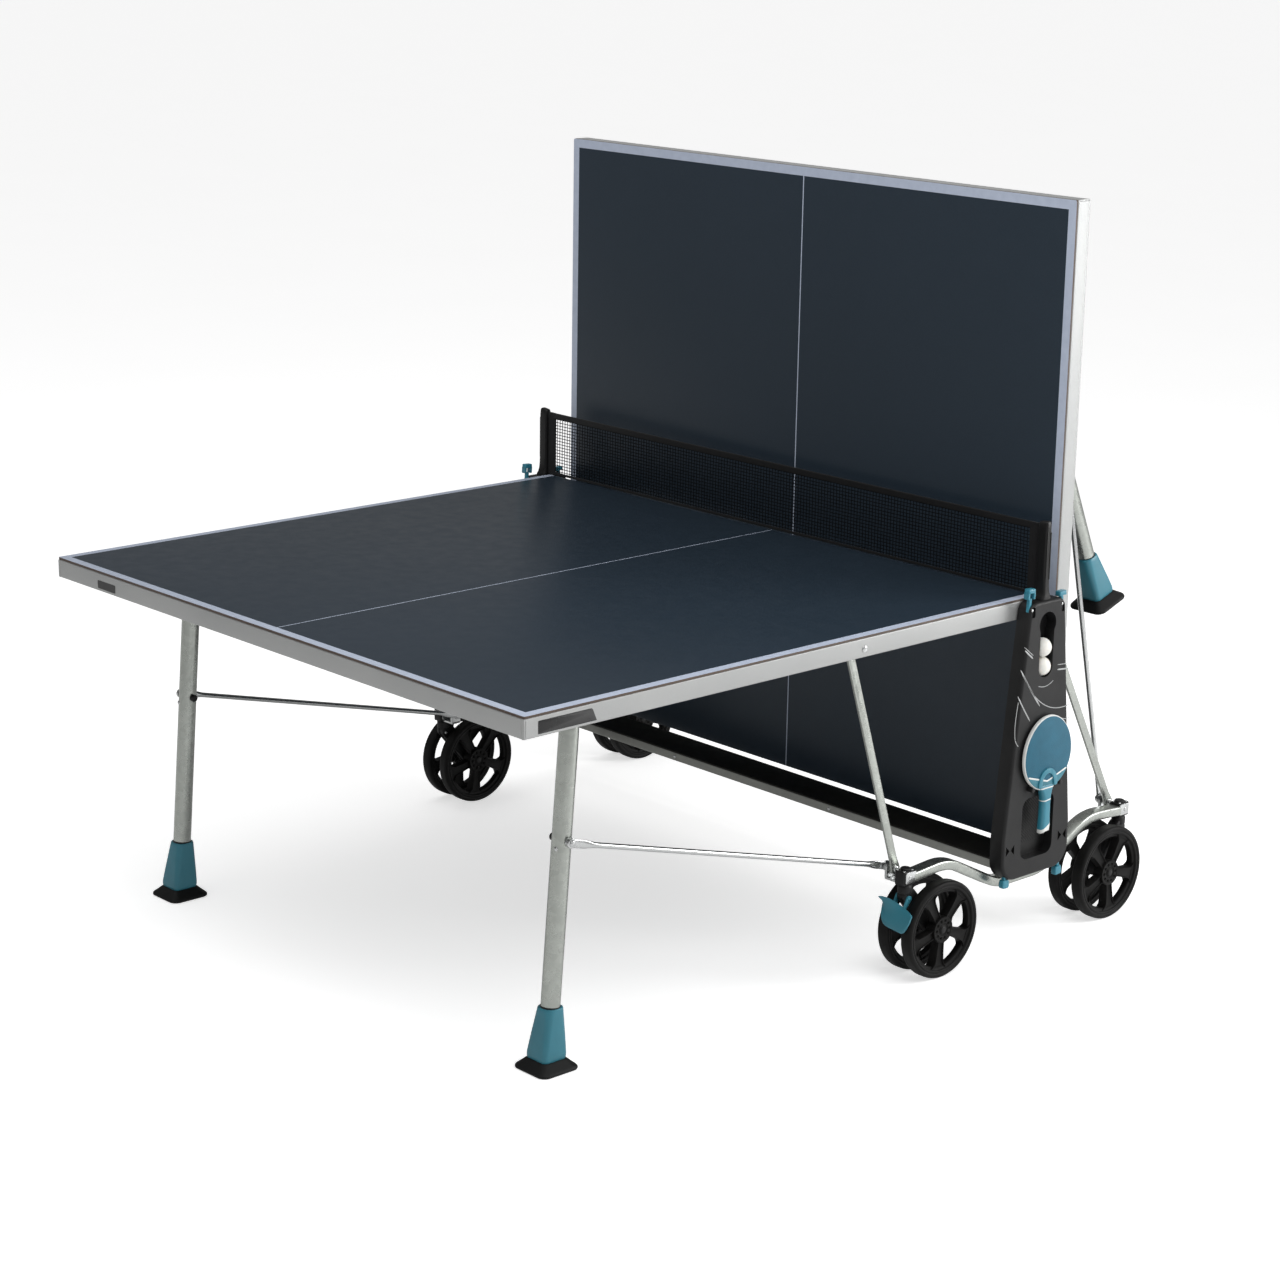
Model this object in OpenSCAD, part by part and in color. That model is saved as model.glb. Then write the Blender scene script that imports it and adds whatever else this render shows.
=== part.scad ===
// Folding table-tennis table on eight swivelling wheels, set up for solo play:
// the front half lies flat on its leg frame, the rear half stands upright.
// X runs along the net, Y along the table (front half toward -Y), Z is up.
// Origin on the floor, under the middle of the overall footprint.

/* [Playing halves] */
// length of the table along the net
half_w = 1525; // [1400:1:1600]
// length of one half from the net outward
half_l = 1370; // [1200:1:1400]
// height of the playing surface
top_h = 760; // [740:1:780]
// thickness of the playing board
board_t = 5; // [4:0.5:25]
// corner radius of the board
board_r = 4; // [1:0.5:20]
// height of the steel skirt under the board
skirt_h = 38.5; // [25:0.5:60]
// sheet thickness of the skirt
skirt_t = 2; // [1:0.1:3]
// width of the folded lips of the skirt
skirt_lip = 18; // [8:1:30]
// gap left between the net plane and the inner edge of a half
inner_gap = 1; // [0.5:0.5:5]

/* [Upright half] */
// distance of the playing face from the net plane
up_y = 66.5; // [50:0.5:120]
// height of the lower edge when upright
up_z = 192; // [150:1:300]

/* [Fold linkage] */
// guide axle: distance from the inner edge
guide_s = 20; // [12:1:40]
// guide axle: depth under the playing surface
guide_d = 22; // [12:1:30]
// radius of the guide axle
guide_r = 5; // [3:0.5:8]
// radius of the guide rollers
roller_r = 8; // [6:0.5:12]
// arm pivot: distance from the inner edge
arm_s = 505; // [400:1:700]
// depth of the arm pivot and of the leg pivot under the playing surface
piv_d = 27; // [20:0.5:32]
// height of the carrier bolt that holds arm and rod
bolt_z = 233; // [200:1:300]
// leg pivot: distance from the inner edge
leg_s = 1131; // [1000:1:1250]
// distance of the foot from the net plane
foot_y = 1185; // [1050:1:1300]
// distance from the leg pivot down to the rod bolt
rod_l = 287; // [200:1:400]
// x of the arms and of the inner end of the rods
arm_x = 716; // [690:1:735]

/* [Legs and feet] */
// x of the legs
leg_x = 615; // [500:1:700]
// outer diameter of the leg tube
leg_od = 38; // [25:1:60]
// wall thickness of the leg tube
leg_t = 2; // [1:0.5:4]
// centre-line radius of the bend at the top of a leg
leg_bend = 78; // [45:1:120]
// side of the square rubber pad
pad_a = 95; // [60:1:130]
// height of the rubber pad
pad_h = 22; // [10:1:40]
// top of the tapered foot above the floor
foot_h = 122; // [80:1:160]

/* [Side caddies] */
// x of the outer face
cad_x1 = 801; // [790:1:840]
// x of the inner face
cad_x0 = 765.5; // [764:0.5:775]
// top of the caddy
cad_top = 757; // [740:1:780]
// bottom of the caddy
cad_bot = 160; // [140:1:200]
// half width at the widest level
cad_hw = 106; // [90:1:130]
// radius of a ball
ball_r = 20; // [19:0.5:22]

/* [Wheels] */
// radius of a wheel
wheel_r = 103.5; // [60:0.5:130]
// width of a wheel
wheel_w = 28; // [15:1:45]
// half the distance between the two wheels of a pair
pair = 32; // [24:1:45]
// x of the swivel axes
cast_x = 747; // [700:1:780]
// y of the swivel axes
cast_y = 343; // [280:1:400]
// trail of the wheel axle behind the swivel axis
trail = 74; // [20:1:90]

/* [Net] */
// height of the net above the playing surface
net_h = 152.5; // [150:0.5:155]
// half the length of the net
net_x = 772; // [765:1:915]

/* [Hidden] */
$fn = 32;
eps = 0.01;
hx = half_w/2;
G0 = [guide_s, top_h - guide_d];
G1 = [up_y + guide_d, up_z + guide_s];
Q0 = [arm_s, top_h - piv_d];
Q1 = [up_y + piv_d, up_z + arm_s];
// carrier bolt: the point at bolt_z that is equally far from both arm pivots
P = [((Q0*Q0 - Q1*Q1)/2 - bolt_z*(Q0[1]-Q1[1]))/(Q0[0]-Q1[0]), bolt_z];
L0 = [leg_s, top_h - piv_d];
L1 = [up_y + piv_d, up_z + leg_s];
F0 = [foot_y, 0];
a_leg0 = atan2(F0[1]-L0[1], F0[0]-L0[0]);
M0 = L0 + rod_l*[cos(a_leg0), sin(a_leg0)];
rod_len = norm(M0 - P);
d_lp = norm(L1 - P);
// folded leg: the triangle pivot - rod bolt - carrier bolt closes exactly
a_leg1 = atan2(P[1]-L1[1], P[0]-L1[0]) + acos((rod_l*rod_l + d_lp*d_lp - rod_len*rod_len)/(2*rod_l*d_lp));
M1 = L1 + rod_l*[cos(a_leg1), sin(a_leg1)];
t_leg = a_leg1 - a_leg0;
t_arm = atan2(P[1]-Q1[1], P[0]-Q1[0]) - atan2(P[1]-Q0[1], P[0]-Q0[0]);
t_rod = atan2(M1[1]-P[1], M1[0]-P[0]) - atan2(M0[1]-P[1], M0[0]-P[0]);
// rearmost point: lower edge of the rubber pad on the folded leg
y_rear = L1[0] + (foot_y + pad_a/2 - L0[0])*cos(t_leg) + L0[1]*sin(t_leg);
// shift that brings the footprint's middle to the origin
y_off = (half_l - y_rear)/2;
beam_w = 32;
beam_h = 21;

// ---- placing helpers: everything is drawn at x > 0, y > 0 with the half lying flat
module place() { translate([0,y_off,0]) children(); }
module side(r) { if (r) children(); else mirror([1,0,0]) children(); }
module end(f) { if (f) mirror([0,1,0]) children(); else children(); }
module turn(p1, ang, p0) { translate([0,p1[0],p1[1]]) rotate([ang,0,0]) translate([0,-p0[0],-p0[1]]) children(); }
// front parts stay flat, rear parts are folded up
module half_pose(f) { end(f) { if (f) children(); else turn(G1, 90, G0) children(); } }
module leg_pose(f) { end(f) { if (f) children(); else turn(L1, t_leg, L0) children(); } }
module arm_pose(f) { end(f) { if (f) children(); else turn(Q1, t_arm, Q0) children(); } }
module rod_pose(f) { end(f) { if (f) children(); else turn(P, t_rod, P) children(); } }
module guide_pose(f) { end(f) translate([0, f ? G0[0] : G1[0], f ? G0[1] : G1[1]]) children(); }

module rsq(a, b, r) { hull() for (x=[-1,1], y=[-1,1]) translate([x*(a/2-r), y*(b/2-r)]) circle(r=r); }
// cylinder along x, from x0 to x1, at (y, z)
module xcyl(x0, x1, y, z, r) { translate([x0,y,z]) rotate([0,90,0]) cylinder(h=x1-x0, r=r); }
// plate in the y-z plane between x0 and x1
module xplate(x0, x1) { translate([x0,0,0]) rotate([90,0,90]) linear_extrude(height=x1-x0) children(); }
module bar2d(a, b, w) { d=b-a; n=norm(d); translate(a) rotate(atan2(d[1],d[0])) translate([0,-w/2]) square([n,w]); }

// ---- chassis
module crossbeam() {
  color([0.35,0.35,0.34]) {
    difference() {
      translate([-cad_x0, -50, 168]) cube([2*cad_x0, 100, 20]);
      translate([-cad_x0-1, -47.5, 170.5]) cube([2*cad_x0+2, 95, 15]);
    }
    translate([-cad_x0, -49, 188]) cube([2*cad_x0, 98, 3]);
  }
}

module cad_outline(e) {
  hull() {
    for (s=[-1,1]) {
      translate([s*(56-22), cad_top-22]) circle(r=22-e);
      translate([s*(cad_hw-14), 262]) circle(r=14-e);
      translate([s*(101-20), 206]) circle(r=20-e);
    }
    translate([0, cad_bot+60]) circle(r=60-e);
  }
}
module track2d(w) {
  for (s=[-1,1]) hull() {
    translate([s*G0[0],G0[1]]) circle(d=w);
    translate([s*G1[0],G1[1]]) circle(d=w);
  }
}
latch_a = [50, 760];
latch_b = [85, 170];
module latch_place(off) {
  d = latch_a - latch_b; u = d/norm(d);
  translate([790, latch_b[0]+u[0]*off, latch_b[1]+u[1]*off]) rotate([atan2(-d[0],d[1]),0,0]) children();
}
latch_len = norm(latch_a - latch_b);
module caddy() {
  difference() {
    union() {
      xplate(cad_x0, cad_x1-6) cad_outline(0);
      xplate(cad_x1-6, cad_x1-3) cad_outline(3);
      difference() {
        xplate(cad_x1-3, cad_x1) cad_outline(6);
        xplate(cad_x1-3, cad_x1+1) cad_outline(14);
      }
    }
    // guide tracks on the inner side
    xplate(cad_x0-1, 774.5) track2d(2*roller_r+0.2);
    // ball chute
    xplate(776, cad_x1+1) {
      translate([-21.5, 615.5]) square([43, 90]);
      translate([0, 615.5]) circle(r=21.5);
      translate([0, 707]) circle(r=26);
    }
    xplate(767.5, 777) { translate([-15.8, 612]) square([31.6, 44]); translate([0,612]) circle(r=15.8); translate([0,656]) circle(r=15.8); }
    // pocket behind the bat handle
    xplate(779, cad_x1+1) { translate([-50, 226]) square([100, 92]); translate([-29,205]) square([58,120]); 
      for (s=[-1,1]) { translate([s*29,226]) circle(r=21); translate([s*29,318]) circle(r=21); } translate([-29,300]) square([58,39]); }
    // channels of the latch bars
    for (f=[true,false]) end(f) latch_place(-60) translate([-4.2,-6.2,0]) cube([8.4, 12.4, latch_len+120]);
  }
  // bat rest: two pegs under the blade
  xcyl(cad_x1-4, cad_x1+14, -34, 359, 5);
  xcyl(cad_x1-4, cad_x1+14, 54, 359, 5);
}

function bez(a, b, c, n) = [for (i=[0:n]) let(t=i/n) (1-t)*(1-t)*a + 2*t*(1-t)*b + t*t*c];
function beam_path() = concat([[0,150]], bez([45,150],[70,150],[95,163],5), bez([192,213],[224,230],[262,228],6), [[331,223]]);
function nrm(p, i) = let(a = p[max(i-1,0)], b = p[min(i+1,len(p)-1)], d=b-a) [-d[1],d[0]]/norm(d);
module band2d(p, w, ex=0) {
  polygon(concat([for (i=[0:len(p)-1]) p[i] + nrm(p,i)*w/2 + (i==len(p)-1 ? [ex,0] : [0,0])],
                 [for (i=[len(p)-1:-1:0]) p[i] - nrm(p,i)*w/2 + (i==len(p)-1 ? [ex,0] : [0,0])]));
}
module wheel_beam() {
  color([0.72,0.73,0.72]) {
    for (f=[true,false]) end(f) {
      difference() {
        xplate(cast_x-beam_w/2, cast_x+beam_w/2) band2d(beam_path(), beam_h);
        xplate(cast_x-beam_w/2+2.5, cast_x+beam_w/2-2.5) band2d(beam_path(), beam_h-5, 5);
      }
      // caster head with the swivel bore
      difference() {
        translate([cast_x-13, 328, 209]) cube([26, 34, 30]);
        translate([cast_x, cast_y, 200]) cylinder(h=50, r=6.04);
      }
      // bracket beside the head, with the bolt that carries the rod
      translate([arm_x-16, 328, 209]) cube([cast_x-13-arm_x+16+eps, 26, 5]);
      xplate(arm_x-16, arm_x-10) { translate([328,209]) square([26, 24]); translate(P) circle(r=13); }
      xcyl(rod_x0-6, arm_x-14, P[0], P[1], 5);
      xcyl(rod_x0-8, rod_x0-5, P[0], P[1], 7.5);
    }
    // welded saddle under the crossbeam
    translate([cast_x-beam_w/2, -45, 160]) cube([beam_w, 90, 8]);
  }
}

module net_post() {
  color([0.13,0.13,0.13]) {
    translate([767, -9, cad_top]) cube([26, 18, 163]);
    xplate(767, 797) polygon([[-24,cad_top],[24,cad_top],[10,cad_top+22],[-10,cad_top+22]]);
  }
}
module net() {
  color([0.12,0.14,0.15]) {
    translate([-766, -0.6, top_h+2]) cube([1532, 1.2, net_h-14]);
    translate([-767, -2, top_h+net_h-13]) cube([1534, 4, 15]);
  }
}

// ---- casters
module fork() {
  color([0.13,0.13,0.13]) {
    xplate(cast_x-12, cast_x+12) hull() {
      translate([cast_y-6, 183]) circle(r=17);
      translate([cast_y-trail, wheel_r]) circle(r=17);
    }
    translate([cast_x, cast_y, 190]) cylinder(h=18.5, r=15);
    translate([cast_x, cast_y, 200]) cylinder(h=44, r=6);
    translate([cast_x, cast_y, 239.4]) cylinder(h=5, r=11);
    xcyl(cast_x-pair-wheel_w/2-1, cast_x+pair+wheel_w/2+1, cast_y-trail, wheel_r, 7);
    // pin of the brake pedal
    xcyl(cast_x-17, cast_x+17, brk[0], brk[1], 3);
  }
}
brk = [cast_y+3, 180];
// one spoke as a closed outline, wider at the rim
function spoke_pt(k, s) = [20 + 62*k, (9.5 + 7*k*k)*s];
module wheel() {
  color([0.14,0.14,0.14]) rotate([0,90,0]) difference() {
    union() {
      difference() {
        union() {
          translate([0,0,-wheel_w/2+4]) cylinder(h=wheel_w-8, r=wheel_r, $fn=48);
          translate([0,0,-wheel_w/2]) cylinder(h=4, r1=wheel_r-5, r2=wheel_r, $fn=48);
          translate([0,0,wheel_w/2-4]) cylinder(h=4, r1=wheel_r, r2=wheel_r-5, $fn=48);
        }
        translate([0,0,-wheel_w]) cylinder(h=2*wheel_w, r=80, $fn=48);
      }
      for (i=[0:4]) rotate(i*72+5) translate([0,0,-8]) linear_extrude(height=16)
        polygon(concat([for (k=[0:5]) spoke_pt(k/5, -1)], [for (k=[5:-1:0]) spoke_pt(k/5, 1)]));
      translate([0,0,-11]) cylinder(h=22, r=25);
    }
    translate([0,0,-wheel_w]) cylinder(h=2*wheel_w, r=7.05);
  }
}
module wheel_at(r, f, o) { side(r) end(f) translate([cast_x + (o?pair:-pair), cast_y-trail, wheel_r]) wheel(); }
// brake pedal, hinged on the fork nose in front of the tyres
module brake() {
  c = [cast_y-trail, wheel_r];
  color([0.25,0.6,0.68]) {
    difference() {
      union() {
        xplate(cast_x-35, cast_x+35) polygon(concat(
          [for (i=[0:6]) let(a=7+i*4.6) c + (wheel_r+2.5)*[cos(a),sin(a)]],
          [for (i=[6:-1:0]) let(a=7+i*4.6) c + (wheel_r+7)*[cos(a),sin(a)]]));
        // upper ends of the shield
        for (x=[cast_x-41, cast_x+34.9]) xplate(x, x+6.1) polygon(concat(
          [for (i=[2:6]) let(a=7+i*4.6) c + (wheel_r+2.5)*[cos(a),sin(a)]],
          [for (i=[6:-1:2]) let(a=7+i*4.6) c + (wheel_r+7)*[cos(a),sin(a)]]));
        // foot tab
        xplate(cast_x-41, cast_x-18) polygon([c + (wheel_r+3)*[cos(34.6),sin(34.6)], c + (wheel_r+6.9)*[cos(29),sin(29)], c + (wheel_r+31)*[cos(33),sin(33)], c + (wheel_r+33)*[cos(35),sin(35)]]);
      }
      // scallops that clear the fork and its stem over the whole stroke of the pedal
      xplate(cast_x-12.6, cast_x+12.6) for (a=[0,6,12]) translate(brk) rotate(-a) translate([cast_y-6,183]-brk) circle(r=17.8);
      xplate(cast_x-16, cast_x+16) for (a=[0,6,12]) translate(brk) rotate(-a) translate([cast_y-20,189.4]-brk) square([35.8, 24]);
    }
    for (x=[cast_x-17, cast_x+12.6]) difference() {
      xplate(x, x+4.4) hull() { translate(brk) circle(r=7); translate(c + (wheel_r+5)*[cos(28),sin(28)]) circle(r=4); }
      xcyl(x-1, x+6, brk[0], brk[1], 3.04);
    }
  }
}

// ---- playing halves, drawn lying flat
module board() {
  color([0.22,0.29,0.34]) {
    translate([0, (half_l+inner_gap)/2, top_h-board_t]) linear_extrude(height=board_t) rsq(half_w, half_l-inner_gap, board_r);
    // saddles that carry the leg bar
    for (s=[-1,1]) difference() {
      translate([s*430-14, leg_s-30, top_h-piv_d-14]) cube([28, 60, piv_d+14-board_t]);
      xcyl(s*430-20, s*430+20, L0[0], L0[1], leg_od/2+0.04);
    }
  }
}
// folded channel, web on the outside at u = 0, lips reaching toward +u; v is up
module channel2d() {
  z1 = top_h-board_t; z0 = z1-skirt_h;
  difference() { translate([0,z0]) square([skirt_lip, skirt_h]); translate([skirt_t, z0+skirt_t]) square([skirt_lip, skirt_h-2*skirt_t]); }
}
module rail_end(outer) {
  y0 = outer ? half_l : inner_gap;
  m = outer ? -1 : 1;
  color([0.74,0.74,0.75]) intersection() {
    translate([-hx, y0, 0]) rotate([90,0,90]) linear_extrude(height=2*hx) { if (outer) mirror([1,0,0]) channel2d(); else channel2d(); }
    linear_extrude(height=2*top_h) polygon([[-hx+0.2,y0],[hx-0.2,y0],[hx-0.2-skirt_lip,y0+m*skirt_lip],[-hx+0.2+skirt_lip,y0+m*skirt_lip]]);
  }
}
module rail_side() {
  color([0.74,0.74,0.75]) difference() {
    union() {
      intersection() {
        translate([hx, half_l, 0]) rotate([90,0,0]) linear_extrude(height=half_l-inner_gap) mirror([1,0,0]) channel2d();
        linear_extrude(height=2*top_h) polygon([[hx,inner_gap+0.2],[hx,half_l-0.2],[hx-skirt_lip,half_l-0.2-skirt_lip],[hx-skirt_lip,inner_gap+0.2+skirt_lip]]);
      }
      // pivot bolt of the arm
      xcyl(arm_x-9, hx+0.5, Q0[0], Q0[1], 5);
      xcyl(arm_x-11, arm_x-8, Q0[0], Q0[1], 8.5);
      xcyl(hx-0.5, hx+2, Q0[0], Q0[1], 8);
      // bearing plate of the guide axle
      translate([hx-10, inner_gap+2.4, top_h-guide_d-15]) cube([9, 36, 30]);
    }
    xcyl(hx-20, hx+5, G0[0], G0[1], guide_r+0.04);
  }
}
module guide_axle() {
  color([0.6,0.61,0.62]) {
    xcyl(-773, 773, 0, 0, guide_r);
    for (s=[true,false]) side(s) xcyl(766.6, 773.6, 0, 0, roller_r);
  }
}

// ---- leg frame, drawn with the half lying flat
module leg_frame_place() { translate([0,L0[0],L0[1]]) rotate([a_leg0+90,0,0]) children(); }
leg_run = norm(F0-L0);
module leg() {
  color([0.68,0.69,0.68]) leg_frame_place() difference() {
    union() {
      // bosses of the rod bolt
      xcyl(leg_x+leg_od/2-2, leg_x+leg_od/2+2.5, 0, -rod_l, 8);
      xcyl(leg_x-leg_od/2-9, leg_x-leg_od/2+2, 0, -rod_l, 7);
      translate([leg_x,0,-leg_run+pad_h+14]) cylinder(h=leg_run-pad_h-14-leg_bend, r=leg_od/2);
      translate([leg_x-leg_bend,0,-leg_bend]) rotate([90,0,0]) rotate_extrude(angle=90) translate([leg_bend,0]) circle(d=leg_od);
    }
    translate([leg_x,0,-leg_run+pad_h+13]) cylinder(h=leg_run-pad_h-13-leg_bend+eps, r=leg_od/2-leg_t);
    translate([leg_x-leg_bend,0,-leg_bend]) rotate([90,0,0]) rotate_extrude(angle=90) translate([leg_bend,0]) circle(d=leg_od-2*leg_t);
  }
}
module leg_bar() {
  color([0.68,0.69,0.68]) leg_frame_place() difference() {
    xcyl(-leg_x+leg_bend, leg_x-leg_bend, 0, 0, leg_od/2);
    xcyl(-leg_x+leg_bend-1, leg_x-leg_bend+1, 0, 0, leg_od/2-leg_t);
  }
}
module foot() {
  color([0.25,0.6,0.68]) translate([leg_x, foot_y, 0]) difference() {
    union() {
      hull() {
        linear_extrude(height=5) rsq(pad_a, pad_a, 18);
        translate([0,0,pad_h-1]) linear_extrude(height=1) rsq(62, 62, 12);
      }
      hull() {
        translate([0,0,pad_h-2]) linear_extrude(height=2) rsq(57, 57, 9);
        translate([0,0,pad_h+8]) linear_extrude(height=1) rsq(59, 59, 9);
        translate([0,-foot_h*tan(a_leg0+90),foot_h-2]) linear_extrude(height=2) rsq(42, 42, 14);
      }
    }
    rotate([a_leg0+90,0,0]) translate([0,0,pad_h+13.5]) cylinder(h=120, r=leg_od/2+0.02);
  }
}

// ---- linkage
module arm() {
  color([0.72,0.73,0.72]) difference() {
    union() {
      xplate(arm_x-3, arm_x+3) { bar2d(Q0, P, 18); translate(Q0) circle(r=14); translate(P) circle(r=12); }
      // bolt of the lower eye
      xcyl(arm_x-7, arm_x+8, P[0], P[1], 7);
    }
    xcyl(arm_x-5, arm_x+5, Q0[0], Q0[1], 5.04);
  }
}
// the rod leans inward from the carrier to the leg
rod_x0 = arm_x - 22;
rod_x1 = leg_x + leg_od/2 + 8;
module rod() {
  color([0.78,0.79,0.8]) {
    d = M0 - P;
    a = atan2(d[1], d[0]);
    translate([0,P[0],P[1]]) rotate([a,0,0]) {
      n = norm([rod_len, rod_x1-rod_x0]);
      difference() {
        union() {
          // eye on the carrier bolt
          xcyl(rod_x0-4, rod_x0+4, 0, 0, 11);
          translate([rod_x0, 8, 0]) rotate([0,0,-atan2(rod_x1-rod_x0, rod_len)]) rotate([-90,0,0]) cylinder(h=n-16, r=5.5);
          // eye beside the leg
          xcyl(rod_x1-4, rod_x1+4, rod_len, 0, 10);
          xcyl(rod_x1+3, rod_x1+7, rod_len, 0, 6.5);
        }
        xcyl(rod_x0-6, rod_x0+6, 0, 0, 5.04);
      }
    }
  }
}

// ---- latch bars with a hooked grip at each end
module latch(up, grip) {
  color([0.25,0.6,0.68]) latch_place(up) {
    translate([-4,-6,0]) cube([8, 12, latch_len]);
    translate([-7,-11,latch_len]) cube([14, 22, grip]);
    translate([-7,-12,-24]) cube([14, 22, 18]);
    translate([-4,-6,-10]) cube([8,12,12]);
  }
}

// ---- bats and balls
module bat() {
  color([0.2,0.5,0.6]) {
    xplate(803, 814) { translate([10,432]) scale([75,81]) circle(r=1, $fn=48); translate([-8,340]) square([36,30]); }
    xplate(799, 820) translate([-4,262]) square([28,86]);
  }
}
module balls() {
  color([0.93,0.92,0.88]) for (z=[615.6,655.8]) translate([788.6, 0, z]) sphere(r=ball_r);
}

place() crossbeam();
place() color([0.13,0.13,0.13]) caddy();  // caddy_right
place() color([0.13,0.13,0.13]) side(false) caddy();  // caddy_left
place() wheel_beam();  // wheel_beam_right
place() side(false) wheel_beam();  // wheel_beam_left
place() net_post();  // net_post_right
place() side(false) net_post();  // net_post_left
place() net();
place() end(true) fork();  // caster_front_right
place() side(false) end(true) fork();  // caster_front_left
place() fork();  // caster_rear_right
place() side(false) fork();  // caster_rear_left
place() wheel_at(true, true, true);  // wheel_front_right_out
place() wheel_at(true, true, false);  // wheel_front_right_in
place() wheel_at(false, true, true);  // wheel_front_left_out
place() wheel_at(false, true, false);  // wheel_front_left_in
place() wheel_at(true, false, true);  // wheel_rear_right_out
place() wheel_at(true, false, false);  // wheel_rear_right_in
place() wheel_at(false, false, true);  // wheel_rear_left_out
place() wheel_at(false, false, false);  // wheel_rear_left_in
place() end(true) brake();  // brake_front_right
place() side(false) brake();  // brake_rear_left
place() guide_pose(true) guide_axle();  // guide_axle_front
place() guide_pose(false) guide_axle();  // guide_axle_rear
place() half_pose(true) board();  // board_front
place() half_pose(false) board();  // board_rear
place() half_pose(true) rail_end(true);  // rail_front_outer
place() half_pose(true) rail_end(false);  // rail_front_inner
place() half_pose(true) rail_side();  // rail_front_right
place() half_pose(true) side(false) rail_side();  // rail_front_left
place() half_pose(false) rail_end(true);  // rail_rear_outer
place() half_pose(false) rail_end(false);  // rail_rear_inner
place() half_pose(false) rail_side();  // rail_rear_right
place() half_pose(false) side(false) rail_side();  // rail_rear_left
place() leg_pose(true) leg();  // leg_front_right
place() leg_pose(true) side(false) leg();  // leg_front_left
place() leg_pose(false) leg();  // leg_rear_right
place() leg_pose(false) side(false) leg();  // leg_rear_left
place() leg_pose(true) leg_bar();  // leg_bar_front
place() leg_pose(false) leg_bar();  // leg_bar_rear
place() leg_pose(true) foot();  // foot_front_right
place() leg_pose(true) side(false) foot();  // foot_front_left
place() leg_pose(false) foot();  // foot_rear_right
place() leg_pose(false) side(false) foot();  // foot_rear_left
place() arm_pose(true) arm();  // arm_front_right
place() arm_pose(true) side(false) arm();  // arm_front_left
place() arm_pose(false) arm();  // arm_rear_right
place() arm_pose(false) side(false) arm();  // arm_rear_left
place() rod_pose(true) rod();  // rod_front_right
place() rod_pose(true) side(false) rod();  // rod_front_left
place() rod_pose(false) rod();  // rod_rear_right
place() rod_pose(false) side(false) rod();  // rod_rear_left
place() end(true) latch(5, 22);  // latch_front_right
place() side(false) end(true) latch(5, 22);  // latch_front_left
place() latch(-2, 10);  // latch_rear_right
place() side(false) latch(-2, 10);  // latch_rear_left
place() bat();  // bat_right
place() side(false) bat();  // bat_left
place() balls();  // balls_right
place() side(false) balls();  // balls_left
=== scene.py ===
"""Looks of a folding table-tennis table set up for solo play.

Every piece is drawn in millimetres on the side x > 0, y > 0, with its half lying flat and the
net plane at y = 0. place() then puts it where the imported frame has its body, in metres.
"""
import math

import bpy
import numpy as np
from mathutils import Matrix, Vector


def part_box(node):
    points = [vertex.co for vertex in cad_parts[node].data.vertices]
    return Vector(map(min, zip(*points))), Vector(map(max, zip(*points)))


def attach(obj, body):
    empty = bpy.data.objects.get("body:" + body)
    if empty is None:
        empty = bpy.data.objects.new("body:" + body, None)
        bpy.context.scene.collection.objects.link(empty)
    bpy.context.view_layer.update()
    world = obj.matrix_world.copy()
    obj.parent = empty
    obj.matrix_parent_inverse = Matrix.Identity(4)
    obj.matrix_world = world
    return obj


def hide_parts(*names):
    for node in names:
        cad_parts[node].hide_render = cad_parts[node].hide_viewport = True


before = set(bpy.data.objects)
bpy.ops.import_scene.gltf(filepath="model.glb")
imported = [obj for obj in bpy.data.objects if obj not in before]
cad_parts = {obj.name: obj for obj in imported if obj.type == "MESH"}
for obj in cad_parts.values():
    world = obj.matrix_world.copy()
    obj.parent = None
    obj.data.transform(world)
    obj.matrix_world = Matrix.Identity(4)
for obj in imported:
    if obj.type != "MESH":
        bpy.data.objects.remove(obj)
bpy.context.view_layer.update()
scene = bpy.context.scene

# ---------------------------------------------------------------- sizes, as in the part's source
HALF_X = 762.5
HALF_Y = 1370.0
EDGE_Y = 1.0
TOP = 760.0
BOARD_T = 5.0
SKIRT_H = 38.5
LIP = 18.0
UP_Y, UP_Z = 66.5, 192.0
LEG_X, LEG_R, LEG_BEND = 615.0, 19.0, 78.0
ARM_X = 716.0
ROD_X0, ROD_X1 = 694.0, 642.0
ROD_L = 287.0
CAD_X0, CAD_X1, CAD_TOP, CAD_BOT, CAD_HW = 765.5, 801.0, 757.0, 166.0, 106.0
CAST_X, CAST_Y, TRAIL = 747.0, 343.0, 74.0
WHEEL_R, WHEEL_W, PAIR = 103.5, 28.0, 32.0
NET_H = 152.5
PAD_H, FOOT_H = 22.0, 122.0
SPOKE_TURN = math.radians(-13)

GUIDE = np.array([20.0, 738.0]), np.array([UP_Y + 22, UP_Z + 20])
ARM = np.array([505.0, 733.0]), np.array([UP_Y + 27, UP_Z + 505])
LEG = np.array([1131.0, 733.0]), np.array([UP_Y + 27, UP_Z + 1131])
FOOT = np.array([1185.0, 0.0])
CARRIER = np.array([((ARM[0] @ ARM[0] - ARM[1] @ ARM[1]) / 2 - 233.0 * (ARM[0][1] - ARM[1][1]))
                    / (ARM[0][0] - ARM[1][0]), 233.0])
lean = math.atan2(FOOT[1] - LEG[0][1], FOOT[0] - LEG[0][0])
ROD_PIN = LEG[0] + ROD_L * np.array([math.cos(lean), math.sin(lean)])
ROD_LEN = float(np.linalg.norm(ROD_PIN - CARRIER))
leg_to_carrier = float(np.linalg.norm(LEG[1] - CARRIER))
folded = math.atan2(*(CARRIER - LEG[1])[::-1]) + math.acos(
    (ROD_L ** 2 + leg_to_carrier ** 2 - ROD_LEN ** 2) / (2 * ROD_L * leg_to_carrier))
ROD_PIN_UP = LEG[1] + ROD_L * np.array([math.cos(folded), math.sin(folded)])
LEG_RUN = float(np.linalg.norm(FOOT - LEG[0]))
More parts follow.
